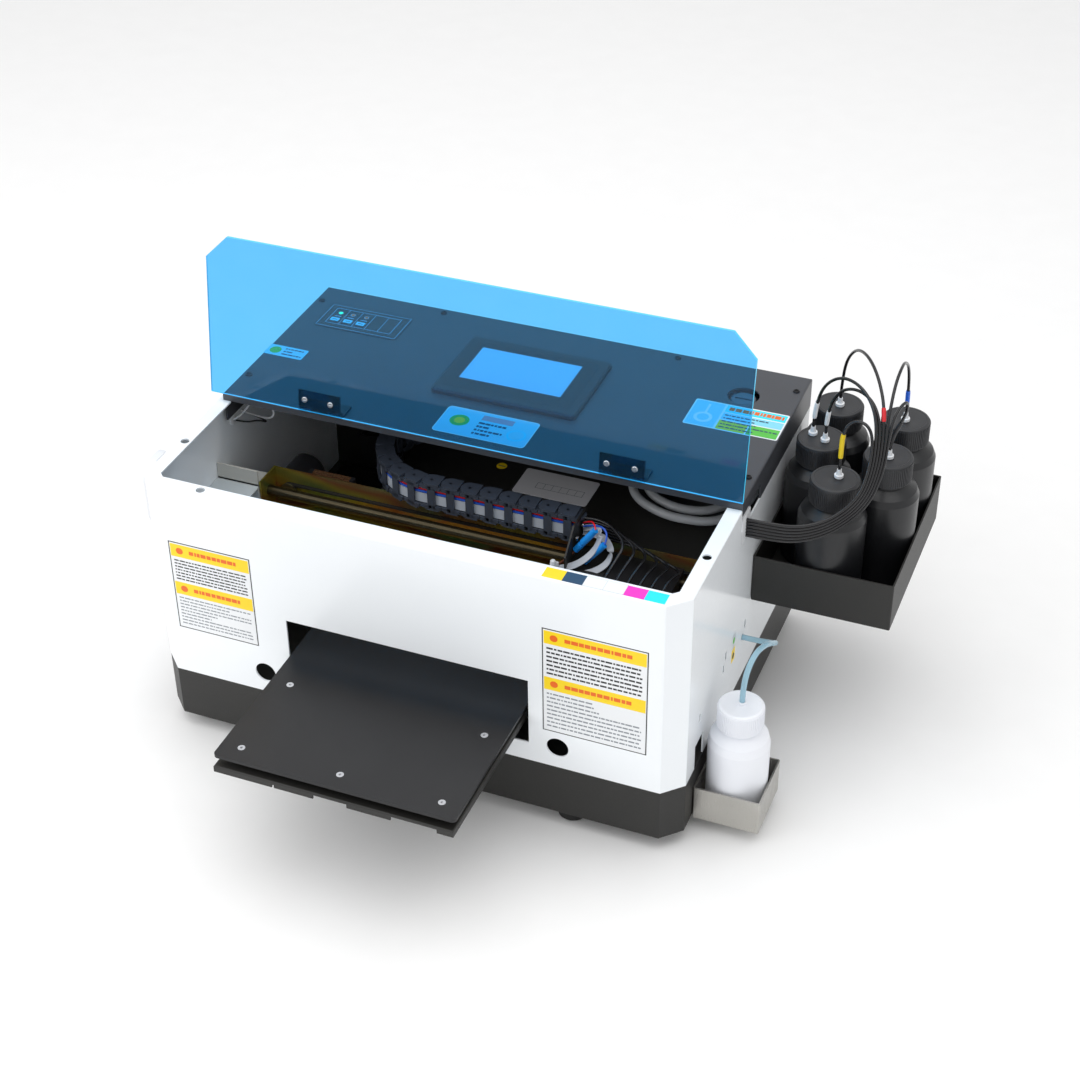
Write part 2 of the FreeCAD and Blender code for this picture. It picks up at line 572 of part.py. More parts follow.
def platen_tray():
    h, y1 = TRAY_W / 2, PLATEN_Y0 + PLATEN_L - 6
    pan = box(-h, h, TRAY_Y0, y1, TRAY_Z1 - TRAY_LIP, TRAY_Z1)
    pan = pan.makeFillet(1.4, [e for e in pan.Edges if min(v.Z for v in e.Vertexes) > TRAY_Z1 - 0.1])
    pan = pan.cut(box(-h + SHEET, h - SHEET, TRAY_Y0 + SHEET, y1 - SHEET, 0, TRAY_Z1 - SHEET))
    for x0, x1, up in ((-16.8, 13.7, 3.5), (53.0, 93.9, 3.5), (-54.6, -52.6, 4.5)):
        pan = pan.cut(box(x0, x1, TRAY_Y0 - 1, TRAY_Y0 + SHEET, 0, TRAY_Z1 - up + 1))
    posts = [rod(x, y, TRAY_Z1 - 1, SPACER_R, SPACER_H + 1) for x, y in PLATEN_BOLTS]
    posts += [rod(x, y, ROD_LOW, ROD_R, TRAY_Z1 - 1 - ROD_LOW) for x in (-ROD_X, ROD_X) for y in ROD_YS]
    pan = joined(pan, *posts)
    for x, y in PLATEN_BOLTS:
        pan = pan.cut(countersink(x, y, 0.02))
    return pan


def platen_sled():
    plate = box(-SLED_W / 2, SLED_W / 2, SLED_Y0, SLED_Y1, SLED_Z, SLED_Z + SLED_T)
    blocks = []
    for x in (-RAIL_X, RAIL_X):
        for y in (SLED_Y0, SLED_Y1 - 30):
            blocks.append(box(x - 14, x + 14, y, y + 30, RAIL_Z - 11, SLED_Z))
    middle = (SLED_Y0 + SLED_Y1) / 2
    blocks.append(box(-14, 14, middle - 12, middle + 12, LEAD_Z - 9, SLED_Z))
    for x in (-ROD_X, ROD_X):
        blocks += [rod(x, y, SLED_Z, SLEEVE_R, SLEEVE_TOP - SLED_Z) for y in ROD_YS]
    sled = joined(plate, *blocks)
    for x in (-RAIL_X, RAIL_X):
        sled = sled.cut(rod(x, SLED_Y0 - 1, RAIL_Z, RAIL_R + FIT, SLED_L + 2, V(0, 1, 0)))
    sled = sled.cut(rod(0, SLED_Y0 - 1, LEAD_Z, LEAD_R + FIT, SLED_L + 2, V(0, 1, 0)))
    for x in (-ROD_X, ROD_X):
        for y in ROD_YS:
            sled = sled.cut(rod(x, y, SLED_Z - 1, ROD_R + FIT, SLEEVE_TOP))
    return sled


def platen_rails():
    solids = []
    for x in (-RAIL_X, RAIL_X):
        bar = rod(x, 6, RAIL_Z, RAIL_R, RAIL_Y1 - 6, V(0, 1, 0))
        ends = [box(x - 13, x + 13, y, y + 10, FLOOR_Z, RAIL_Z + 10) for y in (6, RAIL_Y1 - 10)]
        solids.append(joined(bar, *ends))
    stand = box(-12, 12, 7, 15, FLOOR_Z, LEAD_Z + 10)
    solids.append(stand.cut(rod(0, 6, LEAD_Z, LEAD_R + FIT, 20, V(0, 1, 0))))
    return solids


def platen_motor():
    body = box(-MOTOR / 2, MOTOR / 2, MOTOR_Y0, MOTOR_Y0 + MOTOR_L, LEAD_Z - MOTOR / 2, LEAD_Z + MOTOR / 2)
    body = body.makeChamfer(4, [e for e in body.Edges if abs(e.Vertexes[0].Y - e.Vertexes[-1].Y) > 1])
    body = joined(body, rod(0, MOTOR_Y0 - 2, LEAD_Z, 11, 3, V(0, 1, 0)),
                  box(-20, 20, MOTOR_Y0 + 8, MOTOR_Y0 + 30, FLOOR_Z, LEAD_Z - MOTOR / 2 + 1))
    return body.cut(rod(0, MOTOR_Y0 - 3, LEAD_Z, LEAD_R + FIT, 12, V(0, 1, 0)))


def platen_leadscrew():
    return rod(0, 7, LEAD_Z, LEAD_R, MOTOR_Y0 + 8 - 7, V(0, 1, 0))


# ---- carriage --------------------------------------------------------------------------------------------
def guide_frame():
    y1 = FRAME_Y + FRAME_T
    ledge_y = FRAME_Y - LEDGE
    plate = box(FRAME_X0, FRAME_X1, FRAME_Y, y1, FRAME_Z0, FRAME_Z1)
    bits = [box(FRAME_X0, FRAME_X1, ledge_y, y1, FRAME_Z0, FRAME_Z0 + FRAME_T),
            box(FRAME_X0, FRAME_X1, ledge_y, ledge_y + FRAME_T, FRAME_Z0, FRAME_Z0 + LEDGE_LIP),
            box(FRAME_X0, FRAME_X0 + FRAME_T, FRAME_Y - 28, y1, FRAME_Z0, FRAME_Z1),
            box(FRAME_X1 - FRAME_T, FRAME_X1, FRAME_Y - 28, y1, FRAME_Z0, FRAME_Z1)]
    for x in (FRAME_X0 + 20, HALF - 46):
        bits.append(box(x, x + LEG_W, FRAME_Y, y1, FLOOR_Z, FRAME_Z0 + 1))
        bits.append(box(x, x + LEG_W, FRAME_Y, FRAME_Y + 20, FLOOR_Z, FLOOR_Z + FRAME_T))
    bits.append(rod(IDLER_X, FRAME_Y + 0.5, PULLEY_Z, SHAFT_R, FRAME_Y - BELT_Y + 0.9, V(0, -1, 0)))
    body = joined(plate, *bits)
    return body.cut(rod(DRIVE_X, FRAME_Y - 1, PULLEY_Z, SHAFT_R + 2, FRAME_T + 2, V(0, 1, 0)))


def frame_clips():
    """Black plastic clips pressed over the top of the front lip of the ledge."""
    clips = []
    lip = FRAME_Y - LEDGE
    for x in (-148.0, -88.0, -30.0, 30.0):
        clip = box(x, x + 14, lip - 2, lip + FRAME_T + 2, FRAME_Z0 + FRAME_T + 0.1, FRAME_Z0 + LEDGE_LIP + 2)
        clips.append(clip.cut(box(x - 1, x + 15, lip, lip + FRAME_T, 0, FRAME_Z0 + LEDGE_LIP)))
    return clips


def guide_rod():
    return rod(FRAME_X0 + FRAME_T, ROD_Y, ROD_Z, BAR_R, FRAME_X1 - FRAME_X0 - 2 * FRAME_T, V(1, 0, 0))


def carriage_motor():
    y0 = FRAME_Y + FRAME_T
    body = rod(DRIVE_X, y0, PULLEY_Z, 17, 34, V(0, 1, 0))
    return body.cut(rod(DRIVE_X, y0 - 1, PULLEY_Z, SHAFT_R + FIT, 12, V(0, 1, 0)))


def pulley(x):
    disc = rod(x, BELT_Y - 0.3, PULLEY_Z, PULLEY_R, PULLEY_W, V(0, 1, 0))
    rim = rod(x, BELT_Y - 0.9, PULLEY_Z, PULLEY_R + 2.2, 0.6, V(0, 1, 0))
    return joined(disc, rim)


def drive_pulley():
    return joined(pulley(DRIVE_X), rod(DRIVE_X, BELT_Y, PULLEY_Z, SHAFT_R, FRAME_Y + FRAME_T + 10 - BELT_Y,
                                       V(0, 1, 0)))


def idler_pulley():
    return pulley(IDLER_X).cut(rod(IDLER_X, BELT_Y - 2, PULLEY_Z, SHAFT_R + FIT, 10, V(0, 1, 0)))


def carriage_belt():
    def loop(radius):
        bar = box(DRIVE_X, IDLER_X, BELT_Y, BELT_Y + BELT_W, PULLEY_Z - radius, PULLEY_Z + radius)
        ends = [rod(x, BELT_Y, PULLEY_Z, radius, BELT_W, V(0, 1, 0)) for x in (DRIVE_X, IDLER_X)]
        return joined(bar, *ends)
    return loop(PULLEY_R + FIT + BELT_T).cut(loop(PULLEY_R + FIT))


def carriage_body():
    x1, y1 = CAR_X0 + CAR_W, CAR_Y0 + CAR_D
    body = tray_box(CAR_X0, CAR_Y0, CAR_Z0, (CAR_W, CAR_D, CAR_H), 2)
    arm = box(CAR_X0 + 6, x1 - 6, y1 - 1, ROD_Y + 8.5, ROD_Z - 9, ROD_Z + 10)
    body = joined(body, arm)
    body = body.cut(box(CAR_X0, x1, ROD_Y + BAR_R + 1, ROD_Y + 20, 0, ROD_Z - 20))
    body = body.cut(rod(CAR_X0, ROD_Y, ROD_Z, BAR_R + FIT, CAR_W, V(1, 0, 0)))
    grow = GAP / 2
    return body.cut(box(HEAD_X0 - grow, HEAD_X0 + HEAD[0] + grow, CAR_Y0 + 4 - grow, CAR_Y0 + 4 + HEAD[1] + grow,
                        0, CAR_Z0 + 3))


def print_head():
    y0 = CAR_Y0 + 4
    return joined(box(HEAD_X0, HEAD_X0 + HEAD[0], y0, y0 + HEAD[1], HEAD_Z0, HEAD_Z0 + HEAD[2]),
                  box(HEAD_X0 - 6, HEAD_X0 + HEAD[0] + 6, y0 + 2, y0 + HEAD[1] - 2, CAR_Z0 + 2, CAR_Z0 + 12))


def uv_lamp():
    x0 = CAR_X0 + CAR_W + GAP
    lamp = box(x0, x0 + LAMP[0], CAR_Y0 + 4, CAR_Y0 + 4 + LAMP[1], HEAD_Z0 + 1, HEAD_Z0 + 1 + LAMP[2])
    for i in range(5):
        z = HEAD_Z0 + 14 + 5 * i
        lamp = lamp.cut(box(x0 + LAMP[0] - 4, x0 + LAMP[0] + 1, CAR_Y0, CAR_Y0 + 60, z, z + 2))
    return lamp


def chain_bracket():
    """Bent plate that carries the chain's moving end, screwed to the carriage."""
    x0 = CHAIN_END_X + GAP
    low, top, back = ROD_Z + 10, CHAIN_Z0 + CHAIN_H, CHAIN_Y + CHAIN_D / 2
    outline_yz = [(108, low), (ROD_Y + 8.5, low), (ROD_Y + 8.5, CHAIN_Z0), (back, CHAIN_Z0), (back, top),
                  (130, top), (108, CHAIN_Z0 + 8)]
    points = [V(x0, y, z) for y, z in outline_yz]
    plate = Part.Face(Part.makePolygon(points + points[:1])).extrude(V(BRACKET_T, 0, 0))
    foot = box(x0, CAR_X0 + 20, 112, ROD_Y + 8.5, ROD_Z + 10, ROD_Z + 10 + BRACKET_T)
    return joined(plate, foot)


def carriage_tubes():
    """Six tubes looping from the chain's end to the dampers on the print head."""
    tubes = []
    for i, x in enumerate(DAMPER_X):
        z = CHAIN_Z0 + CHAIN_H - 4 - 3.4 * i
        reach = 22 + 10 * i
        points = [(CHAIN_END_X + 2.2, CHAIN_Y - 2, z), (CHAIN_END_X + 16, CHAIN_Y - 0.5, z + 0.5),
                  (CHAIN_END_X + 18 + reach * 0.55, CHAIN_Y - 6, z + 1), (x + 7, CHAIN_Y - 24, z - 1),
                  (x + 3, CHAIN_Y - 44, 212), (x, CAR_Y0 + 23, 206), (x, CAR_Y0 + 23, HEAD_Z0 + HEAD[2] + 0.3)]
        tubes.append(route("carriage_tube_%d" % (i + 1), points, TUBE_R))
    return tubes


def cap_station():
    x0, y0 = HEAD_X0 - 6, CAR_Y0
    tray = tray_box(x0, y0, 128, (HEAD[0] + 12, HEAD[1] + 10, 22), 2)
    pad = box(x0 + 8, x0 + HEAD[0] + 4, y0 + 8, y0 + HEAD[1] + 2, 129, HEAD_Z0 - 1)
    pad = pad.cut(box(x0 + 11, x0 + HEAD[0] + 1, y0 + 11, y0 + HEAD[1] - 1, 150, HEAD_Z0))
    blade = box(x0 + 2.5, x0 + 5, y0 + 8, y0 + HEAD[1] + 2, 129, HEAD_Z0 - 1)
    legs = [box(x, x + 6, y, y + 6, FLOOR_Z, 129) for x in (x0 + 2, x0 + HEAD[0] + 4)
            for y in (y0 + 2, y0 + HEAD[1] + 2)]
    return joined(tray, pad, blade, *legs)


def left_bracket():
    x0, x1 = -IN_X + GAP, FRAME_X0 - GAP
    return joined(box(x0, x1, 127, 127 + SHEET, 150, 192), box(x0, x1, 96, 127 + SHEET, 192 - SHEET, 192))


# ---- drag chain ------------------------------------------------------------------------------------------
def chain_moving_run():
    return box(CHAIN_BEND_X + GAP / 2, CHAIN_END_X, CHAIN_Y - CHAIN_D / 2, CHAIN_Y + CHAIN_D / 2, CHAIN_Z0,
               CHAIN_Z0 + CHAIN_H)


def chain_fixed_run():
    run = box(CHAIN_BEND_X + GAP / 2, CHAIN_FIX_X, CHAIN_FIX_Y - CHAIN_D / 2, CHAIN_FIX_Y + CHAIN_D / 2, CHAIN_Z0,
              CHAIN_Z0 + CHAIN_H)
    anchor = box(CHAIN_FIX_X - 1, CHAIN_FIX_X + 3, CHAIN_FIX_Y - 14, CHAIN_FIX_Y + 14, SHELF_Z1,
                 CHAIN_Z0 + CHAIN_H)
    return joined(run, anchor)


def chain_bend():
    cy = CHAIN_Y + CHAIN_BEND_R
    ring = rod(CHAIN_BEND_X, cy, CHAIN_Z0, CHAIN_BEND_R + CHAIN_D / 2, CHAIN_H)
    ring = ring.cut(rod(CHAIN_BEND_X, cy, CHAIN_Z0 - 1, CHAIN_BEND_R - CHAIN_D / 2, CHAIN_H + 2))
    return ring.cut(box(CHAIN_BEND_X - GAP / 2, CHAIN_BEND_X + 200, 0, DEPTH, 0, 400))


def inner_shelf():
    y0 = FRAME_Y + FRAME_T + GAP
    top = box(SHELF_X0, FRAME_X1, y0, REAR_IN - GAP, SHELF_Z1 - SHEET, SHELF_Z1)
    apron = box(SHELF_X0, FRAME_X1, y0, y0 + SHEET, SHELF_Z1 - 16, SHELF_Z1)
    ear = box(FRAME_X1 - SHEET, FRAME_X1, y0, REAR_IN - GAP, SHELF_Z1 - 14, SHELF_Z1)
    return joined(top, apron, ear)


def power_supply():
    x0, x1, y0, z0, z1 = SUPPLY
    case = box(x0, x1, y0, REAR_IN - GAP, z0, z1)
    for i in range(6):
        for j in range(3):
            case = case.cut(rod(x0 + 15 + 14 * i, y0 + 12 + 14 * j, z1 - 3, 3.5, 4))
    return case


def power_inlet():
    w, h = INLET
    body = box(INLET_X + GAP, INLET_X + w - GAP, REAR_IN - 20, DEPTH, INLET_Z + GAP, INLET_Z + h - GAP)
    rim = slab(INLET_X + w / 2, 0, w + 8, h + 8, 0, 2, 3).rotated(V(0, 0, 0), V(1, 0, 0), 90)
    rim = rim.translated(V(0, DEPTH + 2, INLET_Z + h / 2))
    body = joined(body, rim)
    body = body.cut(box(INLET_X + 3, INLET_X + 27, DEPTH - 14, DEPTH + 3, INLET_Z + 7, INLET_Z + 23))
    for x in (INLET_X + 9, INLET_X + 15, INLET_X + 21):
        body = joined(body, box(x - 1, x + 1, DEPTH - 15, DEPTH - 2, INLET_Z + 13, INLET_Z + 17))
    rx = INLET_X + 31
    body = body.cut(box(rx, rx + ROCKER[0], DEPTH - 8, DEPTH + 3, INLET_Z + 5, INLET_Z + 5 + ROCKER[1]))
    return body.cut(rod(rx - PIVOT_OUT - 0.5, DEPTH, INLET_Z + 5 + ROCKER[1] / 2, PIVOT_R + FIT,
                        ROCKER[0] + 2 * PIVOT_OUT + 1, V(1, 0, 0)))


def power_rocker():
    """Rocker tipped to OFF; it turns about X through the middle of its well."""
    rx, cz = INLET_X + 31, INLET_Z + 5 + ROCKER[1] / 2
    h = ROCKER[1] / 2 - 1.2
    points = [(DEPTH - 5, -2), (DEPTH - 5, 2), (DEPTH + 1.6, h), (DEPTH + 4.2, h), (DEPTH + 2.2, 0),
              (DEPTH + 4.2, -h), (DEPTH + 1.6, -h)]
    pts = [V(rx + 0.6, y, cz + z) for y, z in points]
    body = Part.Face(Part.makePolygon(pts + pts[:1])).extrude(V(ROCKER[0] - 1.2, 0, 0))
    body = joined(body, rod(rx - PIVOT_OUT, DEPTH, cz, PIVOT_R, ROCKER[0] + 2 * PIVOT_OUT, V(1, 0, 0)))
    return body.rotated(V(rx, DEPTH, cz), V(1, 0, 0), ROCKER_TIP)


# ---- ink -------------------------------------------------------------------------------------------------
def ink_bottles():
    z = BOTTLE_Z0
    profile = [(0, 0), (BOTTLE_R - 2.5, 0), (BOTTLE_R, 2.5), (BOTTLE_R, BOTTLE_SHOULDER),
               (BOTTLE_R - 2.5, BOTTLE_SHOULDER + 6), (BOTTLE_R - 7, BOTTLE_SHOULDER + 9.5),
               (NECK_R, BOTTLE_TOP - 2.5), (NECK_R, BOTTLE_TOP + 14), (NECK_R - 2, BOTTLE_TOP + 14),
               (NECK_R - 2, BOTTLE_TOP - 3.5), (BOTTLE_R - 8.5, BOTTLE_SHOULDER + 8),
               (BOTTLE_R - 2, BOTTLE_SHOULDER), (BOTTLE_R - 2, 3), (BOTTLE_R - 3.5, 1.5), (0, 1.5)]
    return [spin([(r, z + h) for r, h in profile], x, y) for x, y in BOTTLES.values()]


def ink_caps():
    z0, z1 = INK_CAP_Z - CAP_BOTTLE_H, INK_CAP_Z
    caps = []
    for x, y in BOTTLES.values():
        cap = rod(x, y, z0, CAP_BOTTLE_R, CAP_BOTTLE_H)
        cap = cap.makeChamfer(1.2, [e for e in cap.Edges if e.BoundBox.ZMin > z1 - 0.1])
        caps.append(cap.cut(rod(x, y, z0 - 1, NECK_R + FIT, CAP_BOTTLE_H - 6)))
    return caps


def tube_fittings():
    """Barbed fittings standing on the caps, and the grommet where the ribbon enters the cabinet."""
    bodies = []
    for (x, y, z), *_ in INK_ARCHES.values():
        bodies.append(spin([(0, INK_CAP_Z), (4.0, INK_CAP_Z), (4.0, INK_CAP_Z + 2.5), (BARB_R, INK_CAP_Z + 3),
                            (BARB_R - 0.6, z), (0, z)], x, y))
    bodies.append(box(IN_X - 6, HALF, NOTCH[0] + GAP, NOTCH[1] - GAP, NOTCH[2] + GAP, NOTCH[2] + 26))
    return bodies


def ink_tray():
    return tray_box(HALF + GAP, INK_TRAY_Y0, INK_TRAY_Z0, INK_TRAY)


def ink_routes():
    """Each tube's arch followed by its own lane of the ribbon down to the grommet."""
    routes = {}
    for i, (name, points) in enumerate(INK_ARCHES.items()):
        shift = ((len(INK_ARCHES) - 1) / 2 - i) * LANE
        routes[name] = points + [tuple(a + shift * b for a, b in zip(p, d)) for p, d in BUNDLE]
    return routes


# ---- waste -----------------------------------------------------------------------------------------------
def waste_bottle():
    x, y = WASTE_C
    profile = [(0, 0), (WASTE_R - 3, 0), (WASTE_R, 3), (WASTE_R, WASTE_BODY), (WASTE_R - 2, WASTE_BODY + 8),
               (WASTE_NECK_R, WASTE_TOP - 2), (WASTE_NECK_R, WASTE_TOP + 14), (WASTE_NECK_R - 2, WASTE_TOP + 14),
               (WASTE_NECK_R - 2, WASTE_TOP - 3), (WASTE_R - 4, WASTE_BODY + 7), (WASTE_R - 2, WASTE_BODY),
               (WASTE_R - 2, 4), (WASTE_R - 4, 2), (0, 2)]
    return spin([(r, WASTE_Z0 + h) for r, h in profile], x, y)


def waste_cap():
    x, y = WASTE_C
    z1 = WASTE_CAP_Z
    cap = rod(x, y, z1 - WASTE_CAP_H, WASTE_CAP_R, WASTE_CAP_H)
    cap = cap.makeFillet(2, [e for e in cap.Edges if e.BoundBox.ZMin > z1 - 0.1])
    cap = cap.cut(rod(x, y, z1 - WASTE_CAP_H - 1, WASTE_NECK_R + FIT, WASTE_CAP_H - 6))
    return joined(cap, rod(x, WASTE_NIPPLE[1], z1 - 1, WASTE_TUBE_R + 1.5, WASTE_NIPPLE[2] - z1 + 1))


def waste_tray():
    return tray_box(HALF + GAP, WASTE_TRAY_Y0, WASTE_TRAY_Z0, WASTE_TRAY)


# ---- write every node ------------------------------------------------------------------------------------
def build():
    export("base_box", base_box())
    export("rubber_feet", *rubber_feet())
    export("outer_shell", outer_shell())
    export("rear_panel", rear_panel())
    export("deck_cover", deck_cover())
    export("deck_screws", *deck_screws())
    export("keypad_overlay", keypad_overlay())
    for i in range(3):
        export("keypad_key_%d" % (i + 1), key(i))
    export("touch_screen", screen_bezel(), screen_glass())
    export("side_cover", side_cover())
    export("window_panel", window_panel())
    export("hinge_upper_leaves", *hinge_upper_leaves())
    export("hinge_lower_leaves", *hinge_lower_leaves())
    export("window_screws", *window_screws())
    export("water_tank", water_tank())
    export("filler_cap", filler_cap())
    export("cooling_hoses", *cooling_hoses())
    export("platen_plate", platen_plate())
    export("platen_bolts", *platen_bolts())
    export("platen_tray", platen_tray())
    export("platen_sled", platen_sled())
    export("platen_rails", *platen_rails())
    export("platen_motor", platen_motor())
    export("platen_leadscrew", platen_leadscrew())
    export("guide_frame", guide_frame(), *frame_clips())
    export("guide_rod", guide_rod())
    export("carriage_motor", carriage_motor())
    export("drive_pulley", drive_pulley())
    export("idler_pulley", idler_pulley())
    export("carriage_belt", carriage_belt())
    export("carriage_body", carriage_body())
    export("print_head", print_head())
    export("uv_lamp", uv_lamp())
    export("chain_bracket", chain_bracket())
    export("carriage_tubes", *carriage_tubes())
    export("cap_station", cap_station())
    export("left_bracket", left_bracket())
    export("chain_moving_run", chain_moving_run())
    export("chain_fixed_run", chain_fixed_run())
    export("chain_bend", chain_bend())
    export("inner_shelf", inner_shelf())
    export("power_supply", power_supply())
    export("power_inlet", power_inlet())
    export("power_rocker", power_rocker())
    export("ink_bottles", *ink_bottles())
    export("ink_caps", *ink_caps())
    export("tube_fittings", *tube_fittings())
    export("ink_tray", ink_tray())
    for name, points in ink_routes().items():
        export("ink_tube_" + name, route("ink_tube_" + name, points, TUBE_R))
    export("waste_bottle", waste_bottle())
    export("waste_cap", waste_cap())
    x, y, z = WASTE_NIPPLE
    export("waste_tube", route("waste_tube", WASTE_POINTS + [(x, y, z + WASTE_DROP), WASTE_NIPPLE], WASTE_TUBE_R))
    export("waste_tray", waste_tray())


build()
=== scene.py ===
# %% [markdown]
# # A flatbed UV printer
# The cabinet, slides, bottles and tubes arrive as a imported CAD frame. This lesson gives each surface its real
# finish and adds the pieces that are too fine for CAD: chain links, knurled caps, printed panels and wiring.
# Sizes are written in millimetres in the machine's own frame: X from the middle of the cabinet, Y from its front
# face backwards, Z up from the table. One function turns them into metres in the frame's axes.

# %% Load the frame
import math
import random

import bmesh
import bpy
from mathutils import Matrix, Vector


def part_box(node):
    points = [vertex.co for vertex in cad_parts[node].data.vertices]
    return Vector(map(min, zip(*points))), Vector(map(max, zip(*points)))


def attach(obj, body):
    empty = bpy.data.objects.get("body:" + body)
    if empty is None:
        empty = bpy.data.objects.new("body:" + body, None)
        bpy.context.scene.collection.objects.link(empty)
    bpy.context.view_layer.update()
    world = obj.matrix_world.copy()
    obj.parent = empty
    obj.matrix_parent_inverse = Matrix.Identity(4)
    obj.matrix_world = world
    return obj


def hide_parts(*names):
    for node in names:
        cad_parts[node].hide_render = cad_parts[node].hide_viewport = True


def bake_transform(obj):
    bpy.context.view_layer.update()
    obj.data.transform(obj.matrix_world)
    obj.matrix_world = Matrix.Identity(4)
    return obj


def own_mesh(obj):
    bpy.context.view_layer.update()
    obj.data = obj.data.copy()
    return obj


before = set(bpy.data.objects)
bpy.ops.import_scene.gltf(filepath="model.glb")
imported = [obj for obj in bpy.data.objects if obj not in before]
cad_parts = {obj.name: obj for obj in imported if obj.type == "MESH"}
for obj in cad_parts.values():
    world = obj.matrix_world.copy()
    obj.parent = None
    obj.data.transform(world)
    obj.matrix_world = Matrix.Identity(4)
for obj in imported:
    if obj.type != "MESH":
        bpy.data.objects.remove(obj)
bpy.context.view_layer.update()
shell_low, shell_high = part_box("outer_shell")
ORIGIN = Vector(((shell_low.x + shell_high.x) / 2, shell_low.y, 0))
MM = 0.001


def at(x, y, z):
    """A point of the machine, given in millimetres, in the frame's metres."""
    return ORIGIN + Vector((x, y, z)) * MM


def top_of(node):
    """The highest point of a CAD node, in millimetres."""
    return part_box(node)[1].z / MM


print("cabinet", [round(v / MM, 1) for v in (shell_high - shell_low)])

# %% [markdown]
# ## The camera
# The view is set first. It stands to the right of the machine and well above it, with a lens of moderate length,
# so that the upright edges converge a little.

# %% Camera
CAMERA_AT = (616.2, -1202.3, 1240.4)
AZIMUTH, ELEVATION, ROLL = (math.radians(a) for a in (22.17, 35.81, -0.69))


def aim(azimuth, elevation, roll):
    """The camera's rotation as a matrix with right, up and back as its columns."""
    forward = Vector((-math.sin(azimuth) * math.cos(elevation), math.cos(azimuth) * math.cos(elevation),
                      -math.sin(elevation)))
    right = forward.cross(Vector((0, 0, 1))).normalized()
    up = right.cross(forward)
    tilted_right = right * math.cos(roll) + up * math.sin(roll)
    tilted_up = up * math.cos(roll) - right * math.sin(roll)
    rows = [(tilted_right[i], tilted_up[i], -forward[i]) for i in range(3)]
    return Matrix(rows)


camera = bpy.data.objects.new("camera", bpy.data.cameras.new("camera"))
bpy.context.scene.collection.objects.link(camera)
camera.location = at(*CAMERA_AT)
camera.rotation_euler = aim(AZIMUTH, ELEVATION, ROLL).to_euler()
camera.data.lens = 67.4
camera.data.sensor_width = 36
bpy.context.scene.camera = camera

# %% [markdown]
# ## Building blocks
# Three small helpers carry most of the work. `piece` turns a bmesh into an object that rides on a body, `add`
# puts one node in a tree, and `colour` turns the hex value of a paint or a plastic into linear light.


# %% Helpers for pieces and colours
FACTOR, FIRST, SECOND, RESULT = 0, 6, 7, 2     # sockets of a Mix node that mixes colours


def colour(code):
    """An sRGB hex code as linear red, green and blue, with full alpha."""
    channels = [int(code[i:i + 2], 16) / 255 for i in (0, 2, 4)]
    linear = [c / 12.92 if c <= 0.04045 else ((c + 0.055) / 1.055) ** 2.4 for c in channels]
    return (*linear, 1.0)


def add(tree, kind, sockets=(), **settings):
    """Add one node: its settings by name, then each input as a link or a plain value."""
    made = tree.nodes.new(kind)
    for key, value in settings.items():
        setattr(made, key, value)
    for key, value in dict(sockets).items():
        if isinstance(value, bpy.types.NodeSocket):
            tree.links.new(value, made.inputs[key])
        else:
            made.inputs[key].default_value = value
    return made


def piece(name, mesh, body, materials, replaces=(), smooth=True):
    """Link a mesh as a finished piece that rides on a body, or on none."""
    made = bpy.data.objects.new(name, mesh)
    bpy.context.scene.collection.objects.link(made)
    for material in materials:
        mesh.materials.append(material)
    if smooth:
        mesh.shade_smooth()
        mesh.set_sharp_from_angle(angle=math.radians(32))
    if body:
        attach(made, body)
    if replaces:
        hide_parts(*replaces)
    return made


def mesh_of(bm, name):
    """A bmesh as mesh data, with its doubles merged and its faces pointing out."""
    bmesh.ops.remove_doubles(bm, verts=bm.verts, dist=1e-7)
    bmesh.ops.recalc_face_normals(bm, faces=bm.faces)
    mesh = bpy.data.meshes.new(name)
    bm.to_mesh(mesh)
    bm.free()
    return mesh


# %% [markdown]
# ## Finishes
# Every finish starts from the real one. A powder coat has a soft orange-peel skin with grains of one or two
# millimetres. Brushed steel is scratched one way. Moulded plastic is spark-eroded, so it has a fine even grain.
# One recipe makes them all: noise in the object's own coordinates, stretched if the surface was worked one way,
# drives a slight change of colour, of roughness and of height.


# %% A recipe for opaque finishes
PAINT_INDEX, COAT_ROUGHNESS = 1.5, 0.12        # typical of paints and moulded plastics, and of a clear coat


def bare_material(name):
    """A new material with its tree, its shader and a place in the object's own coordinates."""
    material = bpy.data.materials.new(name)
    material.use_nodes = True
    tree = material.node_tree
    return material, tree, tree.nodes["Principled BSDF"], add(tree, "ShaderNodeTexCoord").outputs["Object"]


def mottled(tree, noise, shades):
    """Two shades mixed by a noise."""
    return add(tree, "ShaderNodeMix", {FACTOR: noise.outputs["Fac"], FIRST: colour(shades[0]),
                                       SECOND: colour(shades[1])}, data_type="RGBA").outputs[RESULT]


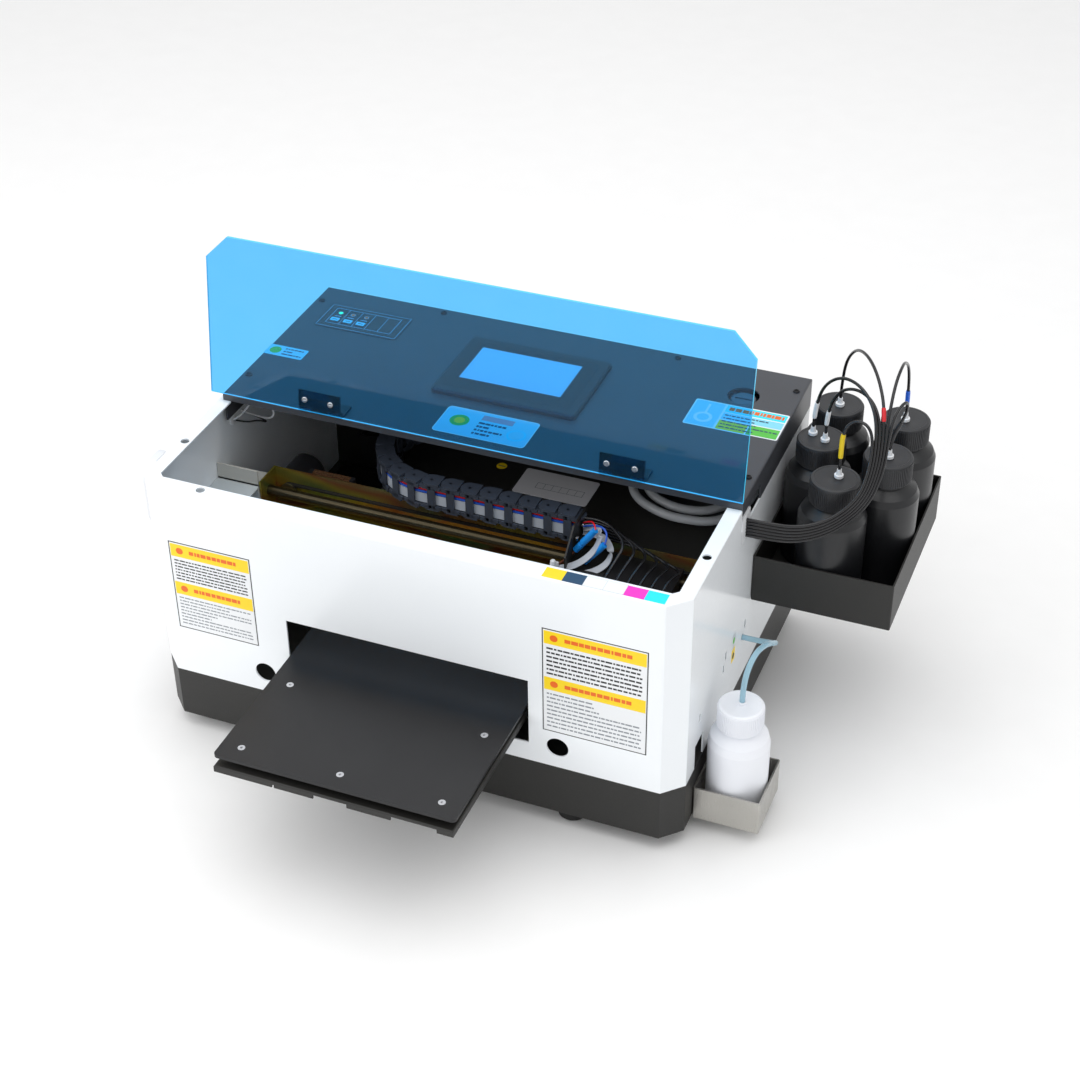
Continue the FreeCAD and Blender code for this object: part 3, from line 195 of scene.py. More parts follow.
def finish(name, shades, rough, metallic=0.0, grain=1.2, height=0.03, spread=0.06, coat=0.0):
    """Two shades mottled by broad noise, and fine grain of one size or three, in mm, in roughness and height."""
    material, tree, shader, place = bare_material(name)
    shader.inputs["Metallic"].default_value = metallic
    shader.inputs["Coat Weight"].default_value = coat
    shader.inputs["Coat Roughness"].default_value = COAT_ROUGHNESS
    if metallic < 0.5:
        shader.inputs["IOR"].default_value = PAINT_INDEX
    sizes = grain if isinstance(grain, tuple) else (grain,) * 3
    fine_place = add(tree, "ShaderNodeMapping", {"Vector": place, "Scale": [1 / (g * MM) for g in sizes]})
    fine = add(tree, "ShaderNodeTexNoise", {"Vector": fine_place.outputs["Vector"], "Scale": 1.0, "Detail": 3.0,
                                            "Roughness": 0.55})
    broad = add(tree, "ShaderNodeTexNoise", {"Vector": place, "Scale": 22.0, "Detail": 3.0})
    tree.links.new(mottled(tree, broad, shades), shader.inputs["Base Color"])
    gloss = add(tree, "ShaderNodeMapRange", {"Value": fine.outputs["Fac"], "From Min": 0.3, "From Max": 0.7,
                                             "To Min": max(0.02, rough - spread), "To Max": rough + spread})
    tree.links.new(gloss.outputs["Result"], shader.inputs["Roughness"])
    bump = add(tree, "ShaderNodeBump", {"Height": fine.outputs["Fac"], "Strength": 0.35,
                                        "Distance": height * MM})
    tree.links.new(bump.outputs["Normal"], shader.inputs["Normal"])
    return material


# %% [markdown]
# Two kinds of finish need more than the recipe. Clear plastics let light through, so their shader has transmission.
# The guide frame is steel with a yellow zinc coat, whose thin film turns gold, green and rose in broad clouds.


# %% Clear and iridescent finishes
def clear(name, shades, rough, share, ior=1.49):
    """A see-through plastic of one tint: `share` of the light goes through it."""
    material, tree, shader, place = bare_material(name)
    shader.inputs["Transmission Weight"].default_value = share
    shader.inputs["IOR"].default_value = ior
    smear = add(tree, "ShaderNodeTexNoise", {"Vector": place, "Scale": 40.0, "Detail": 4.0})
    tree.links.new(mottled(tree, smear, shades), shader.inputs["Base Color"])
    gloss = add(tree, "ShaderNodeMapRange", {"Value": smear.outputs["Fac"], "To Min": max(0.0, rough - 0.02),
                                             "To Max": rough + 0.03})
    tree.links.new(gloss.outputs["Result"], shader.inputs["Roughness"])
    return material


def yellow_zinc():
    """Chromate over zinc: clouds of gold, olive and rose on a satin metal."""
    material = finish("yellow_zinc_plate", ("9A8440", "7C7038"), 0.36, metallic=0.7, grain=(6.0, 0.8, 0.8),
                      height=0.003)
    tree = material.node_tree
    shader = tree.nodes["Principled BSDF"]
    place = add(tree, "ShaderNodeTexCoord").outputs["Object"]
    stretched = add(tree, "ShaderNodeMapping", {"Vector": place, "Scale": (7.0, 26.0, 26.0)})
    film = add(tree, "ShaderNodeTexNoise", {"Vector": stretched.outputs["Vector"], "Scale": 1.0, "Detail": 2.0,
                                            "Distortion": 0.8})
    ramp = add(tree, "ShaderNodeValToRGB", {"Fac": film.outputs["Fac"]})
    shades = ((0.25, "6E8048"), (0.42, "A8963E"), (0.55, "96603C"), (0.68, "7A9460"), (0.8, "C0A858"))
    while len(ramp.color_ramp.elements) < len(shades):
        ramp.color_ramp.elements.new(0.5)
    for element, (position, code) in zip(ramp.color_ramp.elements, shades):
        element.position = position
        element.color = colour(code)
    tree.links.new(ramp.outputs["Color"], shader.inputs["Base Color"])
    return material


# %% [markdown]
# Each finish below is named for the real material, and its comment says what that gives the eye. The orange peel
# of the white coat has its real size. A fine-texture coat, a spark-eroded skin and a brushed line are finer in
# reality, a tenth of a millimetre or less, and are drawn coarser, at 0.3 mm and more, so that they show at all.

# %% Painted and anodised sheet
# Smooth and bright: soft highlights that break up a little in the orange peel.
WHITE_POWDER = finish("white_gloss_powder_coat", ("F6FAFD", "F3F7FB"), 0.24, grain=2.4, height=0.001,
                      spread=0.02, coat=0.35)
# Fine sand-like texture: near black with a broad dull sheen and no mirror.
BLACK_POWDER = finish("black_fine_texture_powder_coat", ("1B1B19", "232220"), 0.5, grain=0.9,
                      height=0.008, spread=0.05)
# The same black coat, flatter, coloured a dark grey: the grey is a painted sheen that stands for the light it catches
# from above.
DECK_POWDER_PAINTED_SHEEN = finish("deck_powder_coat_painted_sheen", ("3D3F44", "45474D"), 0.38, grain=0.5,
                     height=0.0015, spread=0.03)
# Hard black skin on aluminium: satin, with a hint of metal where light grazes it.
ANODISED = finish("black_hard_anodised_aluminium", ("1E1E20", "262628"), 0.44, grain=0.7, height=0.003,
                  metallic=0.25, spread=0.07)

# %% Rubber and metals
# Matt and nearly black, with no highlight to speak of.
RUBBER = finish("moulded_nitrile_rubber", ("141414", "1C1C1C"), 0.7, grain=0.6, height=0.05)
# Blackened steel: dark, with a small hard glint on each head.
DARK_CHROME = finish("black_oxide_screw_steel", ("1A1A1C", "2A2A2D"), 0.3, metallic=0.7, grain=0.4)
# Clean bright metal that glints from any side.
BRIGHT_SCREW = finish("nickel_plated_screw_steel", ("D8D8DA", "BFC0C4"), 0.18, metallic=1.0, grain=0.3,
                      height=0.005, spread=0.04)
# Oiled steel: brownish, with one line of light along it.
DARK_ROD = finish("oiled_dark_guide_steel", ("4E4634", "3E382B"), 0.3, metallic=0.85, grain=(8.0, 0.4, 0.4),
                  height=0.004)
# Hard chrome polished along the rod: a long crisp highlight.
RAIL_STEEL = finish("hard_chromed_rail_steel", ("B9BBC0", "A4A6AB"), 0.2, metallic=1.0, grain=(0.3, 12.0, 0.3),
                    height=0.005)
# Fine scratches one way, which stretch each reflection across them.
BRUSHED = finish("brushed_stainless_sheet", ("C3C1BC", "AEACA6"), 0.34, metallic=1.0, grain=(0.35, 9.0, 9.0),
                 height=0.015, spread=0.1)
# Pale metal with faint tool lines one way.
MILLED = finish("milled_aluminium", ("A9ABAF", "8E9094"), 0.36, metallic=1.0, grain=(5.0, 0.5, 0.5), height=0.01)
# Sprayed lacquer over a pressed can: soft black gloss.
MOTOR_BLACK = finish("motor_black_lacquer", ("1B1B1D", "242427"), 0.4, grain=1.2, height=0.03)

# %% Plastics
# Spark-eroded moulding: an even fine speckle with a soft sheen.
BLACK_PLASTIC = finish("black_spark_textured_plastic", ("1C1C1E", "252528"), 0.42, grain=0.5,
                       height=0.04, spread=0.08)
# A cool dark slate that shows each link by its soft bright rims.
CHAIN_NYLON = finish("slate_black_nylon", ("353B46", "414855"), 0.42, grain=0.8, height=0.015)
# Blown plastic: slightly wavy, with long soft highlights down the side.
BOTTLE_BLACK = finish("blow_moulded_black_polyethylene", ("141517", "1B1C1F"), 0.34, grain=2.2,
                      height=0.008, spread=0.04)
# A little lighter and duller than the bottle under it.
CAP_BLACK = finish("moulded_black_polypropylene", ("26272A", "2F3033"), 0.46, grain=0.6, height=0.01)
# Waxy and white, with wide soft highlights.
BOTTLE_WHITE = finish("blow_moulded_white_polyethylene", ("F4F6FB", "EEF1F8"), 0.34, grain=2.0,
                      height=0.008)
# Plain moulded white with a fine even skin.
WHITE_PLASTIC = finish("white_abs", ("ECEDEF", "DDE0E4"), 0.36, grain=0.6, height=0.03)
# A white bracket coloured bluish grey, which is painted shade of the bay it stands in, and duller than the walls
# round it.
BRACKET_PAINTED_SHADE = finish("white_bracket_painted_shade", ("C9CFD2", "B9C1C4"), 0.4, grain=0.7, height=0.03)
# Mid grey moulding that stands out a little from the deck.
GREY_CAP = finish("grey_abs_cap", ("4E545C", "5A6069"), 0.36, grain=0.5, height=0.03)
# Thin dip paint on the hinge leaves: an even blue-black gloss.
HINGE_COAT = finish("hinge_black_electrocoat", ("10121A", "1A1D28"), 0.3, grain=0.8, height=0.02)
# Almost a mirror: it shows the lights as sharp shapes.
GLOSS_BLACK = finish("piano_black_acrylic", ("0B0C0F", "0F1014"), 0.06, grain=3.0, height=0.001,
                     spread=0.02, coat=0.5)
# Satin black, darker than the deck it lies on.
BEZEL_BLACK = finish("satin_black_abs_bezel", ("1B1D21", "24272C"), 0.35, grain=0.5, height=0.03)
# Smooth glossy tube with one thin highlight along each bend.
TUBE_BLACK = finish("black_ink_tube_polyurethane", ("141416", "1F1F22"), 0.2, grain=1.5, height=0.01,
                    spread=0.06)

# %% Zinc and clear plastics
# Satin metal that shifts between gold, olive and rose.
ZINC = yellow_zinc()
# Clear, flat and strongly blue: what lies behind stays sharp. The index is set lower than that of real
# acrylic, 1.49, so that the sheet mirrors less of the white room.
WINDOW_BLUE = clear("cyan_cast_acrylic", ("5EC2FF", "66C6FF"), 0.01, 0.98, ior=1.3)
# The sawn edge scatters the light that the sheet collects, so it looks a lighter blue; this glow is painted light, an
# emission on a part that is no lamp.
EDGE_BLUE_PAINTED_GLOW = clear("acrylic_sawn_edge_painted_glow", ("2FC6F5", "49D2FA"), 0.25, 0.45)
EDGE_BLUE_PAINTED_GLOW.node_tree.nodes["Principled BSDF"].inputs["Emission Color"].default_value = colour("58CFFA")
EDGE_BLUE_PAINTED_GLOW.node_tree.nodes["Principled BSDF"].inputs["Emission Strength"].default_value = 0.45
# Milky and soft, with a pale blue cast.
WASTE_BLUE = clear("light_blue_silicone_tube", ("A9D3E6", "B7DCEB"), 0.22, 0.35, ior=1.41)
# Milky and colourless: bright edges and a dim middle.
CLEAR_HOSE = clear("clear_silicone_hose", ("C9CDD2", "D8DBDF"), 0.24, 0.35, ior=1.41)
# Frosted and faintly grey, like a food box.
TANK_CLEAR = clear("natural_polypropylene_tank", ("D5DADC", "C8CED1"), 0.35, 0.3)
print("finishes", len(bpy.data.materials))

# %% [markdown]
# A CAD node whose shape is already right keeps its mesh and only takes a new finish. A node that a finer piece
# will replace isn't listed.

# %% Finishes for the CAD nodes
NODES_WITH = (
    (BLACK_POWDER, "base_box rear_panel platen_tray chain_bracket inner_shelf ink_tray"),
    (RUBBER, "rubber_feet carriage_belt"),
    (WHITE_POWDER, "outer_shell"),
    (DECK_POWDER_PAINTED_SHEEN, "deck_cover"),
    (DARK_CHROME, "deck_screws"),
    (GLOSS_BLACK, "keypad_overlay"),
    (WHITE_PLASTIC, "side_cover tube_fittings"),
    (HINGE_COAT, "hinge_upper_leaves hinge_lower_leaves"),
    (BRIGHT_SCREW, "window_screws platen_bolts"),
    (TANK_CLEAR, "water_tank"),
    (GREY_CAP, "filler_cap keypad_key_1 keypad_key_2 keypad_key_3"),
    (CLEAR_HOSE, "cooling_hoses"),
    (ANODISED, "platen_plate"),
    (MILLED, "platen_sled drive_pulley idler_pulley print_head uv_lamp power_supply"),
    (RAIL_STEEL, "platen_rails platen_leadscrew"),
    (MOTOR_BLACK, "platen_motor carriage_motor"),
    (ZINC, "guide_frame"),
    (DARK_ROD, "guide_rod"),
    (BLACK_PLASTIC, "carriage_body cap_station power_inlet power_rocker"),
    (TUBE_BLACK, "carriage_tubes"),
    (BRACKET_PAINTED_SHADE, "left_bracket"),
    (BOTTLE_BLACK, "ink_bottles"),
    (BOTTLE_WHITE, "waste_bottle"),
    (BRUSHED, "waste_tray"),
    (BEZEL_BLACK, "touch_screen"),
)
finished = 0
for material, nodes in NODES_WITH:
    for node in nodes.split():
        finished += 1
        for material_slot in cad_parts[node].material_slots:
            material_slot.material = material
print("finished nodes", finished)

# %% [markdown]
# ## The tubes
# Six ink tubes, each about 2.8 mm across, stand up from the bottle caps, arch over together and run as a flat
# ribbon into the cabinet. A soft hose carries waste ink to its bottle. Each is one smooth spline through a few
# points, as a flexible tube lies.

# %% Ink tubes and waste tube
INK_ARCHES = {
    "yellow": [(312, 225, 275), (312, 225, 287), (311, 231, 311), (320, 232, 322), (332, 229, 322)],
    "white_a": [(273, 283, 275), (273, 283, 287), (277, 281, 312), (286, 275, 329), (299, 267, 340),
                (313, 257, 343), (326, 246, 340), (336, 236, 329)],
    "white_b": [(286, 276, 275), (286, 276, 287), (289, 274, 308), (297, 270, 324), (308, 263, 333),
                (320, 254, 337), (331, 245, 335), (339, 237, 326)],
    "magenta": [(283, 338, 275), (283, 338, 287), (286, 333, 316), (295, 321, 336), (306, 303, 348),
                (319, 283, 351), (331, 263, 346), (341, 245, 333)],
    "cyan": [(344, 334, 275), (344, 334, 287), (344, 330, 314), (344, 319, 333), (344, 302, 345),
             (345, 284, 350), (345, 265, 346), (346, 247, 333)],
    "black": [(345, 270, 275), (345, 270, 287), (355, 272, 311), (357, 267, 327), (355, 258, 332),
              (351, 246, 327)],
}
BUNDLE = [((344, 230, 312), (-0.66, -0.75, 0.0)), ((345, 219, 286), (-0.62, -0.68, 0.39)),
          ((340, 203, 262), (-0.45, -0.5, 0.74)), ((320, 187, 243), (-0.2, -0.3, 0.93)),
          ((294, 175, 234), (0.0, -0.1, 1.0)), ((268, 162, 240), (0.0, 0.0, 1.0)),
          ((250, 162, 240), (0.0, 0.0, 1.0))]
LANE = 3.3
WASTE_POINTS = [(245, 172, 113), (265, 172, 113), (282, 163, 122), (288, 142, 140), (286, 115, 158),
                (283, 89, 165), (280.3, 71, 149.5), (280.3, 71, 127.5)]


def spline_line(name, points, steps, radius=0.0, section=0):
    """An object with one smooth spline, `steps` pieces to each point, and a round section if it has a radius."""
    curve = bpy.data.curves.new(name, "CURVE")
    curve.dimensions = "3D"
    spline = curve.splines.new("NURBS")
    spline.points.add(len(points) - 1)
    for control, point in zip(spline.points, points):
        control.co = (*at(*point), 1)
    spline.order_u = 3
    spline.use_endpoint_u = True
    spline.resolution_u = steps
    curve.bevel_depth = radius * MM
    curve.bevel_resolution = section
    curve.use_fill_caps = radius > 0
    made = bpy.data.objects.new(name, curve)
    bpy.context.scene.collection.objects.link(made)
    return made


def plain_mesh(line):
    """The mesh of a line object, which is then removed."""
    mesh = bpy.data.meshes.new_from_object(line.evaluated_get(bpy.context.evaluated_depsgraph_get()))
    bpy.data.objects.remove(line)
    return mesh


def spline_cord(name, points, radius, material):
    """A tube as one smooth spline, riding on the cabinet."""
    made = spline_line(name, points, 10, radius, 4)
    made.data.materials.append(material)
    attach(made, "cabinet")
    return made


def ink_route(index, points):
    """One tube's arch and then its own lane of the ribbon."""
    shift = ((len(INK_ARCHES) - 1) / 2 - index) * LANE
    return points + [tuple(a + shift * b for a, b in zip(p, d)) for p, d in BUNDLE]


SLEEVES = {"yellow": (0.05, 0.13, 2.2, "F2D21B", "D9BA12"), "white_a": (0.03, 0.075, 2.1, "F3F4F5", "E4E6E8"),
           "white_b": (0.03, 0.075, 2.1, "F3F4F5", "E4E6E8"), "magenta": (0.5, 0.535, 2.0, "D8202A", "C41A24"),
           "cyan": (0.035, 0.07, 2.1, "2A6BE0", "235FCC"), "black": (0.03, 0.1, 2.0, "16161A", "1E1E22")}


SLEEVE_SIDES, SLEEVE_LIP = 16, 0.25             # sides round a sleeve, and how far its ends draw in, mm


def line_points(curve_object):
    """Points along a tube's own spline, read from the curve without its bevel."""
    bare = curve_object.data.copy()
    bare.bevel_depth = 0
    line = bpy.data.objects.new("line", bare)
    bpy.context.scene.collection.objects.link(line)
    return [vertex.co.copy() for vertex in plain_mesh(line).vertices]


def ring_round(bm, centre, along, radius, steps):
    """A ring of points round a line, with a radius in millimetres."""
    side = along.orthogonal().normalized()
    other = along.cross(side)
    turns = [k * math.tau / steps for k in range(steps)]
    return [bm.verts.new(centre + (side * math.cos(a) + other * math.sin(a)) * radius * MM) for a in turns]


def skin(bm, rings, index=0):
    """Faces from each ring to the next, and one over each end. `index` picks their finish."""
    faces = [bm.faces.new(rings[0][::-1]), bm.faces.new(rings[-1])]
    for a, b in zip(rings, rings[1:]):
        for k in range(len(a)):
            n = (k + 1) % len(a)
            faces.append(bm.faces.new((a[k], a[n], b[n], b[k])))
    for face in faces:
        face.material_index = index


def direction(points, i):
    """The way a line of points runs at one of them."""
    return (points[min(i + 1, len(points) - 1)] - points[max(i - 1, 0)]).normalized()


def sleeve_on(tube, ink):
    """A short shrunk sleeve round a tube, from one share of its length to another."""
    low, high, radius, first, second = SLEEVES[ink]
    line = line_points(tube)
    part = line[int(low * len(line)):int(high * len(line)) + 2]
    bm = bmesh.new()
    rings = []
    for i, centre in enumerate(part):
        size = radius - SLEEVE_LIP if i in (0, len(part) - 1) else radius
        rings.append(ring_round(bm, centre, direction(part, i), size, SLEEVE_SIDES))
    for a, b in zip(rings, rings[1:]):          # turn each ring to face the one before it
        shift = min(range(SLEEVE_SIDES), key=lambda k: (b[k].co - a[0].co).length)
        b[:] = b[shift:] + b[:shift]
    skin(bm, rings)
    material = finish("shrunk_sleeve_" + ink, (first, second), 0.4, grain=0.6)
    return piece("sleeve_" + ink, mesh_of(bm, "sleeve_" + ink), "cabinet", (material,))


for index, (ink, points) in enumerate(INK_ARCHES.items()):
    tube = spline_cord("ink_tube_skin_" + ink, ink_route(index, points), 1.4, TUBE_BLACK)
    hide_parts("ink_tube_" + ink)
    sleeve_on(tube, ink)
waste = spline_cord("waste_tube_skin", WASTE_POINTS, 2.5, WASTE_BLUE)
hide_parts("waste_tube")

# %% [markdown]
# ## The stage
# A plain pale floor, two big soft lights and a bright room, as in a small product studio: one light from above,
# and one from the left front that draws the highlights and leaves the right wall in a soft grey.


# %% Floor and lights
FLOOR_GAP, FLOOR_HALF = 0.2, 6.0               # mm under the feet, and half the sheet's width in metres


def stage_floor():
    """A broad pale sheet under the feet."""
    bm = bmesh.new()
    bmesh.ops.create_grid(bm, x_segments=1, y_segments=1, size=FLOOR_HALF)
    mesh = mesh_of(bm, "floor")
    made = bpy.data.objects.new("floor", mesh)
    bpy.context.scene.collection.objects.link(made)
    made.location.z = -FLOOR_GAP * MM
    mesh.materials.append(finish("pale_backdrop_paper", ("FAFAFA", "F6F6F6"), 0.8, grain=3, height=0.01))


def softbox(name, place, target, size, power):
    """A square area light that faces a target."""
    light = bpy.data.lights.new(name, "AREA")
    light.shape = "SQUARE"
    light.size = size
    light.energy = power
    made = bpy.data.objects.new(name, light)
    bpy.context.scene.collection.objects.link(made)
    made.location = at(*place)
    made.rotation_euler = (at(*target) - made.location).to_track_quat("-Z", "Y").to_euler()


stage_floor()
MIDDLE = (0, 200, 150)
softbox("overhead", (100, 100, 1900), MIDDLE, 2.2, 17)
softbox("key_left", (-1500, -1300, 1300), MIDDLE, 1.6, 15)
world = bpy.data.worlds.new("studio")
world.use_nodes = True
world.node_tree.nodes["Background"].inputs["Color"].default_value = colour("FFFFFF")
world.node_tree.nodes["Background"].inputs["Strength"].default_value = 0.78
bpy.context.scene.world = world
bpy.context.scene.view_settings.view_transform = "Standard"

# %% [markdown]
# ## The window
# The window is cast acrylic with sawn edges. Light that enters the sheet leaves at its edges, so these look far
# brighter than the faces. A copy of the CAD sheet gets one finish on its two big faces and another round the rim,
# which glows with painted light.


# %% Window with bright edges
def window_sheet():
    """A merged copy of the CAD window, with its faces sorted by the way they look."""
    bm = bmesh.new()
    bm.from_mesh(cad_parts["window_panel"].data)
    bmesh.ops.remove_doubles(bm, verts=bm.verts, dist=1e-5)
    broad = max(bm.faces, key=lambda face: face.calc_area()).normal.copy()
    for face in bm.faces:
        face.material_index = 0 if abs(face.normal.dot(broad)) > 0.98 else 1
        face.smooth = False
    mesh = mesh_of(bm, "window_sheet")
    return piece("window_sheet", mesh, "window", (WINDOW_BLUE, EDGE_BLUE_PAINTED_GLOW), ("window_panel",),
                 smooth=False)


print("window faces", len(window_sheet().data.polygons))

# %% [markdown]
# ## Printed plates
# The machine carries many flat prints: notices, a colour strip, the keypad film and a display. Each is one mesh
# of thin plates laid on a face of the cabinet. A plate is an outline with rounded corners, pushed out by a few
# hundredths of a millimetre for each layer of ink. Lines of small print are rows of plain dashes of uneven
# length, which is how such print looks from where a person stands.

# %% Inks
INKS = {name: finish("screen_print_" + name, (code, code2), 0.38, grain=0.8, height=0.005, spread=0.04)
        for name, code, code2 in (
            ("white", "F2F4F6", "ECEFF2"), ("yellow", "FFDD1C", "F9D60F"), ("black", "17181A", "1D1E20"),
            ("grey", "8A9097", "7E848B"), ("orange", "F0701A", "E8650F"), ("navy", "2F4A66", "2A4460"),
            ("magenta", "FF3CC8", "F735C0"), ("cyan", "2FEBFF", "27E1F7"), ("green", "5DC84A", "52BD40"),
            ("light_blue", "8FE0F2", "84D8EC"), ("rose", "D9A9B4", "CF9FAB"), ("film", "15171B", "1B1E23"),
            ("line_blue", "9DB4CC", "93AAC3"), ("plate", "E0E0E4", "D0D0D6"), ("off_grey", "D5D9DD", "CDD2D6"))}


def glowing(name, code, strength):
    """A lit panel or lamp: its colour is light of its own."""
    material = finish(name, (code, code), 0.2, grain=3, height=0.001)
    shader = material.node_tree.nodes["Principled BSDF"]
    shader.inputs["Emission Color"].default_value = colour(code)
    shader.inputs["Emission Strength"].default_value = strength
    return material


INKS["lit"] = glowing("liquid_crystal_panel", "8CC0EC", 0.25)
INKS["lamp_green"] = glowing("green_lamp", "36F08A", 2.0)
LAYER = 0.05                                    # thickness of one layer of ink, mm
FRONT = (Vector((0, 0, 0)), Vector((1, 0, 0)), Vector((0, 0, 1)), Vector((0, -1, 0)))
SIDE = (Vector((250, 0, 0)), Vector((0, 1, 0)), Vector((0, 0, 1)), Vector((1, 0, 0)))


def lying(height):
    """The axes of a flat face at one height: across, back and up."""
    return Vector((0, 0, height)), Vector((1, 0, 0)), Vector((0, 1, 0)), Vector((0, 0, 1))


# %% Plates on a face
CORNER_STEPS = 5                                # edges in each rounded corner


def corner_points(left, low, right, high, radius):
    """An outline with rounded corners, anticlockwise."""
    if radius <= 0:
        return [(left, low), (right, low), (right, high), (left, high)]
    points = []
    centres = ((right - radius, low + radius, -90), (right - radius, high - radius, 0),
               (left + radius, high - radius, 90), (left + radius, low + radius, 180))
    for x, y, start in centres:
        for step in range(CORNER_STEPS + 1):
            angle = math.radians(start + 90 * step / CORNER_STEPS)
            points.append((x + radius * math.cos(angle), y + radius * math.sin(angle)))
    return points


def plate(bm, face, outline, low, high, index):
    """A thin plate on a face, from one height above it to another."""
    origin, across, up, out = face
    skin(bm, [[bm.verts.new(at(*(origin + across * u + up * v + out * h))) for u, v in outline]
              for h in (low, high)], index)


def prints(name, face, marks, body="cabinet"):
    """Marks are (left, low, right, high, radius, ink, layer)."""
    inks = sorted({mark[5] for mark in marks})
    bm = bmesh.new()
    for left, low, right, high, radius, ink, layer in marks:
        plate(bm, face, corner_points(left, low, right, high, radius), 0.0, LAYER * (layer + 1), inks.index(ink))
    return piece(name, mesh_of(bm, name), body, [INKS[ink] for ink in inks], smooth=False)


def dashes(left, low, right, high, rows, ink, seed, layer=2, share=0.42):
    """Rows of dashes of uneven length that stand for small print."""
    draw = random.Random(seed)
    marks, pitch = [], (high - low) / rows
    for row in range(rows):
        middle, x = high - pitch * (row + 0.5), left
        end = right if draw.random() < 0.72 else left + (right - left) * draw.uniform(0.4, 0.85)
        while x < end - 1.0:
            width = min(draw.uniform(1.2, 6.0), end - x)
            marks.append((x, middle - pitch * share / 2, x + width, middle + pitch * share / 2, 0, ink, layer))
            x += width + draw.uniform(0.6, 1.1)
    return marks


def outline_marks(left, low, right, high, width, ink, layer):
    """A frame line as four thin bars."""
    return [(left, low, right, low + width, 0, ink, layer), (left, high - width, right, high, 0, ink, layer),
            (left, low, left + width, high, 0, ink, layer), (right - width, low, right, high, 0, ink, layer)]


# %% Notices on the front
HEADING = 13.5                                  # height of a yellow heading, mm


def notice(name, left, low, right, high, seed):
    """A framed sheet with two yellow headings over blocks of small print."""
    middle = (low + high) / 2 - 1
    marks = [(left, low, right, high, 0, "black", 0), (left + 1, low + 1, right - 1, high - 1, 0, "white", 1)]
    for head in (high - 2.2, middle + 5):
        foot = head - HEADING
        marks.append((left + 1.6, foot, right - 1.6, head, 0, "yellow", 2))
        marks.append((left + 7, foot + 3.4, left + 14, head - 3.4, 3.3, "orange", 3))
        marks += dashes(left + 20, foot + 3.6, right - 14, head - 3.6, 1, "orange", seed + 1, 3, 0.62)
    marks += dashes(left + 4, middle + 7, right - 5, high - 18, 7, "black", seed + 2, 2, 0.4)
    marks += dashes(left + 4, low + 4, right - 5, middle - 10.5, 9, "grey", seed + 3, 2, 0.34)
    return prints(name, FRONT, marks)


notice("notice_left", -223.9, 118, -143.8, 213, 11)
notice("notice_right", 126.8, 106, 219.7, 216, 23)
STRIP_X, STRIP_W = 126.0, 17.45
strip = [(STRIP_X + STRIP_W * i, 2.2, STRIP_X + STRIP_W * (i + 1), 15.4, 0, ink, 1)
         for i, ink in enumerate(("yellow", "navy", "white", "white", "magenta", "cyan"))]
strip += [(STRIP_X + STRIP_W * 3 - 0.2, 2.2, STRIP_X + STRIP_W * 3 + 0.2, 15.4, 0, "off_grey", 2)]
strip += outline_marks(STRIP_X + STRIP_W * 2, 2.2, STRIP_X + STRIP_W * 4, 15.4, 0.35, "off_grey", 2)
prints("ink_colour_strip", lying(266.5), strip)
print("notices and colour strip")

# %% Prints on the deck
DECK = lying(273.7)
water = [(162, 250, 249, 293.5, 2, "white", 0), (163.4, 251.4, 190, 292, 1.5, "light_blue", 1),
         (192, 268, 247.6, 279, 0, "light_blue", 1), (192, 280.5, 247.6, 292, 0, "cyan", 1),
         (192, 251.4, 218.5, 266.5, 0, "yellow", 1), (220, 251.4, 247.6, 266.5, 0, "green", 1),
         (168, 257, 185, 274, 8.4, "white", 2), (171, 260, 182, 271, 5.4, "light_blue", 3),
         (175.5, 274, 177.5, 288, 0, "white", 2)]
water += dashes(195, 282, 246, 291, 1, "orange", 5, 3, 0.6) + dashes(194, 253, 246, 278, 5, "navy", 6, 3, 0.34)
prints("filling_notice", DECK, water)
small = [(-245 + 1, 225.7, -204.5, 243.5, 1.5, "light_blue", 0), (-241, 229, -230, 240.5, 5.4, "green", 1)]
small += dashes(-227, 227.5, -207, 242, 3, "navy", 7, 1, 0.4)
prints("small_notice", DECK, small)
middle_notice = [(-42, 160, 46.5, 203, 4, "white", 0), (-41.2, 160.8, 45.7, 202.2, 3.4, "light_blue", 1),
                 (-33, 174, -15, 192, 8.9, "green", 2), (-29, 178, -19, 188, 4.9, "yellow", 3),
                 (-6, 190, 24, 198, 0, "rose", 2), (24, 168, 42, 186, 8.9, "cyan", 2),
                 (26, 170, 40, 184, 6.9, "light_blue", 3)]
middle_notice += dashes(-6, 165, 21, 188, 4, "navy", 8, 2, 0.5)
prints("lid_notice", DECK, middle_notice)
print("deck notices")

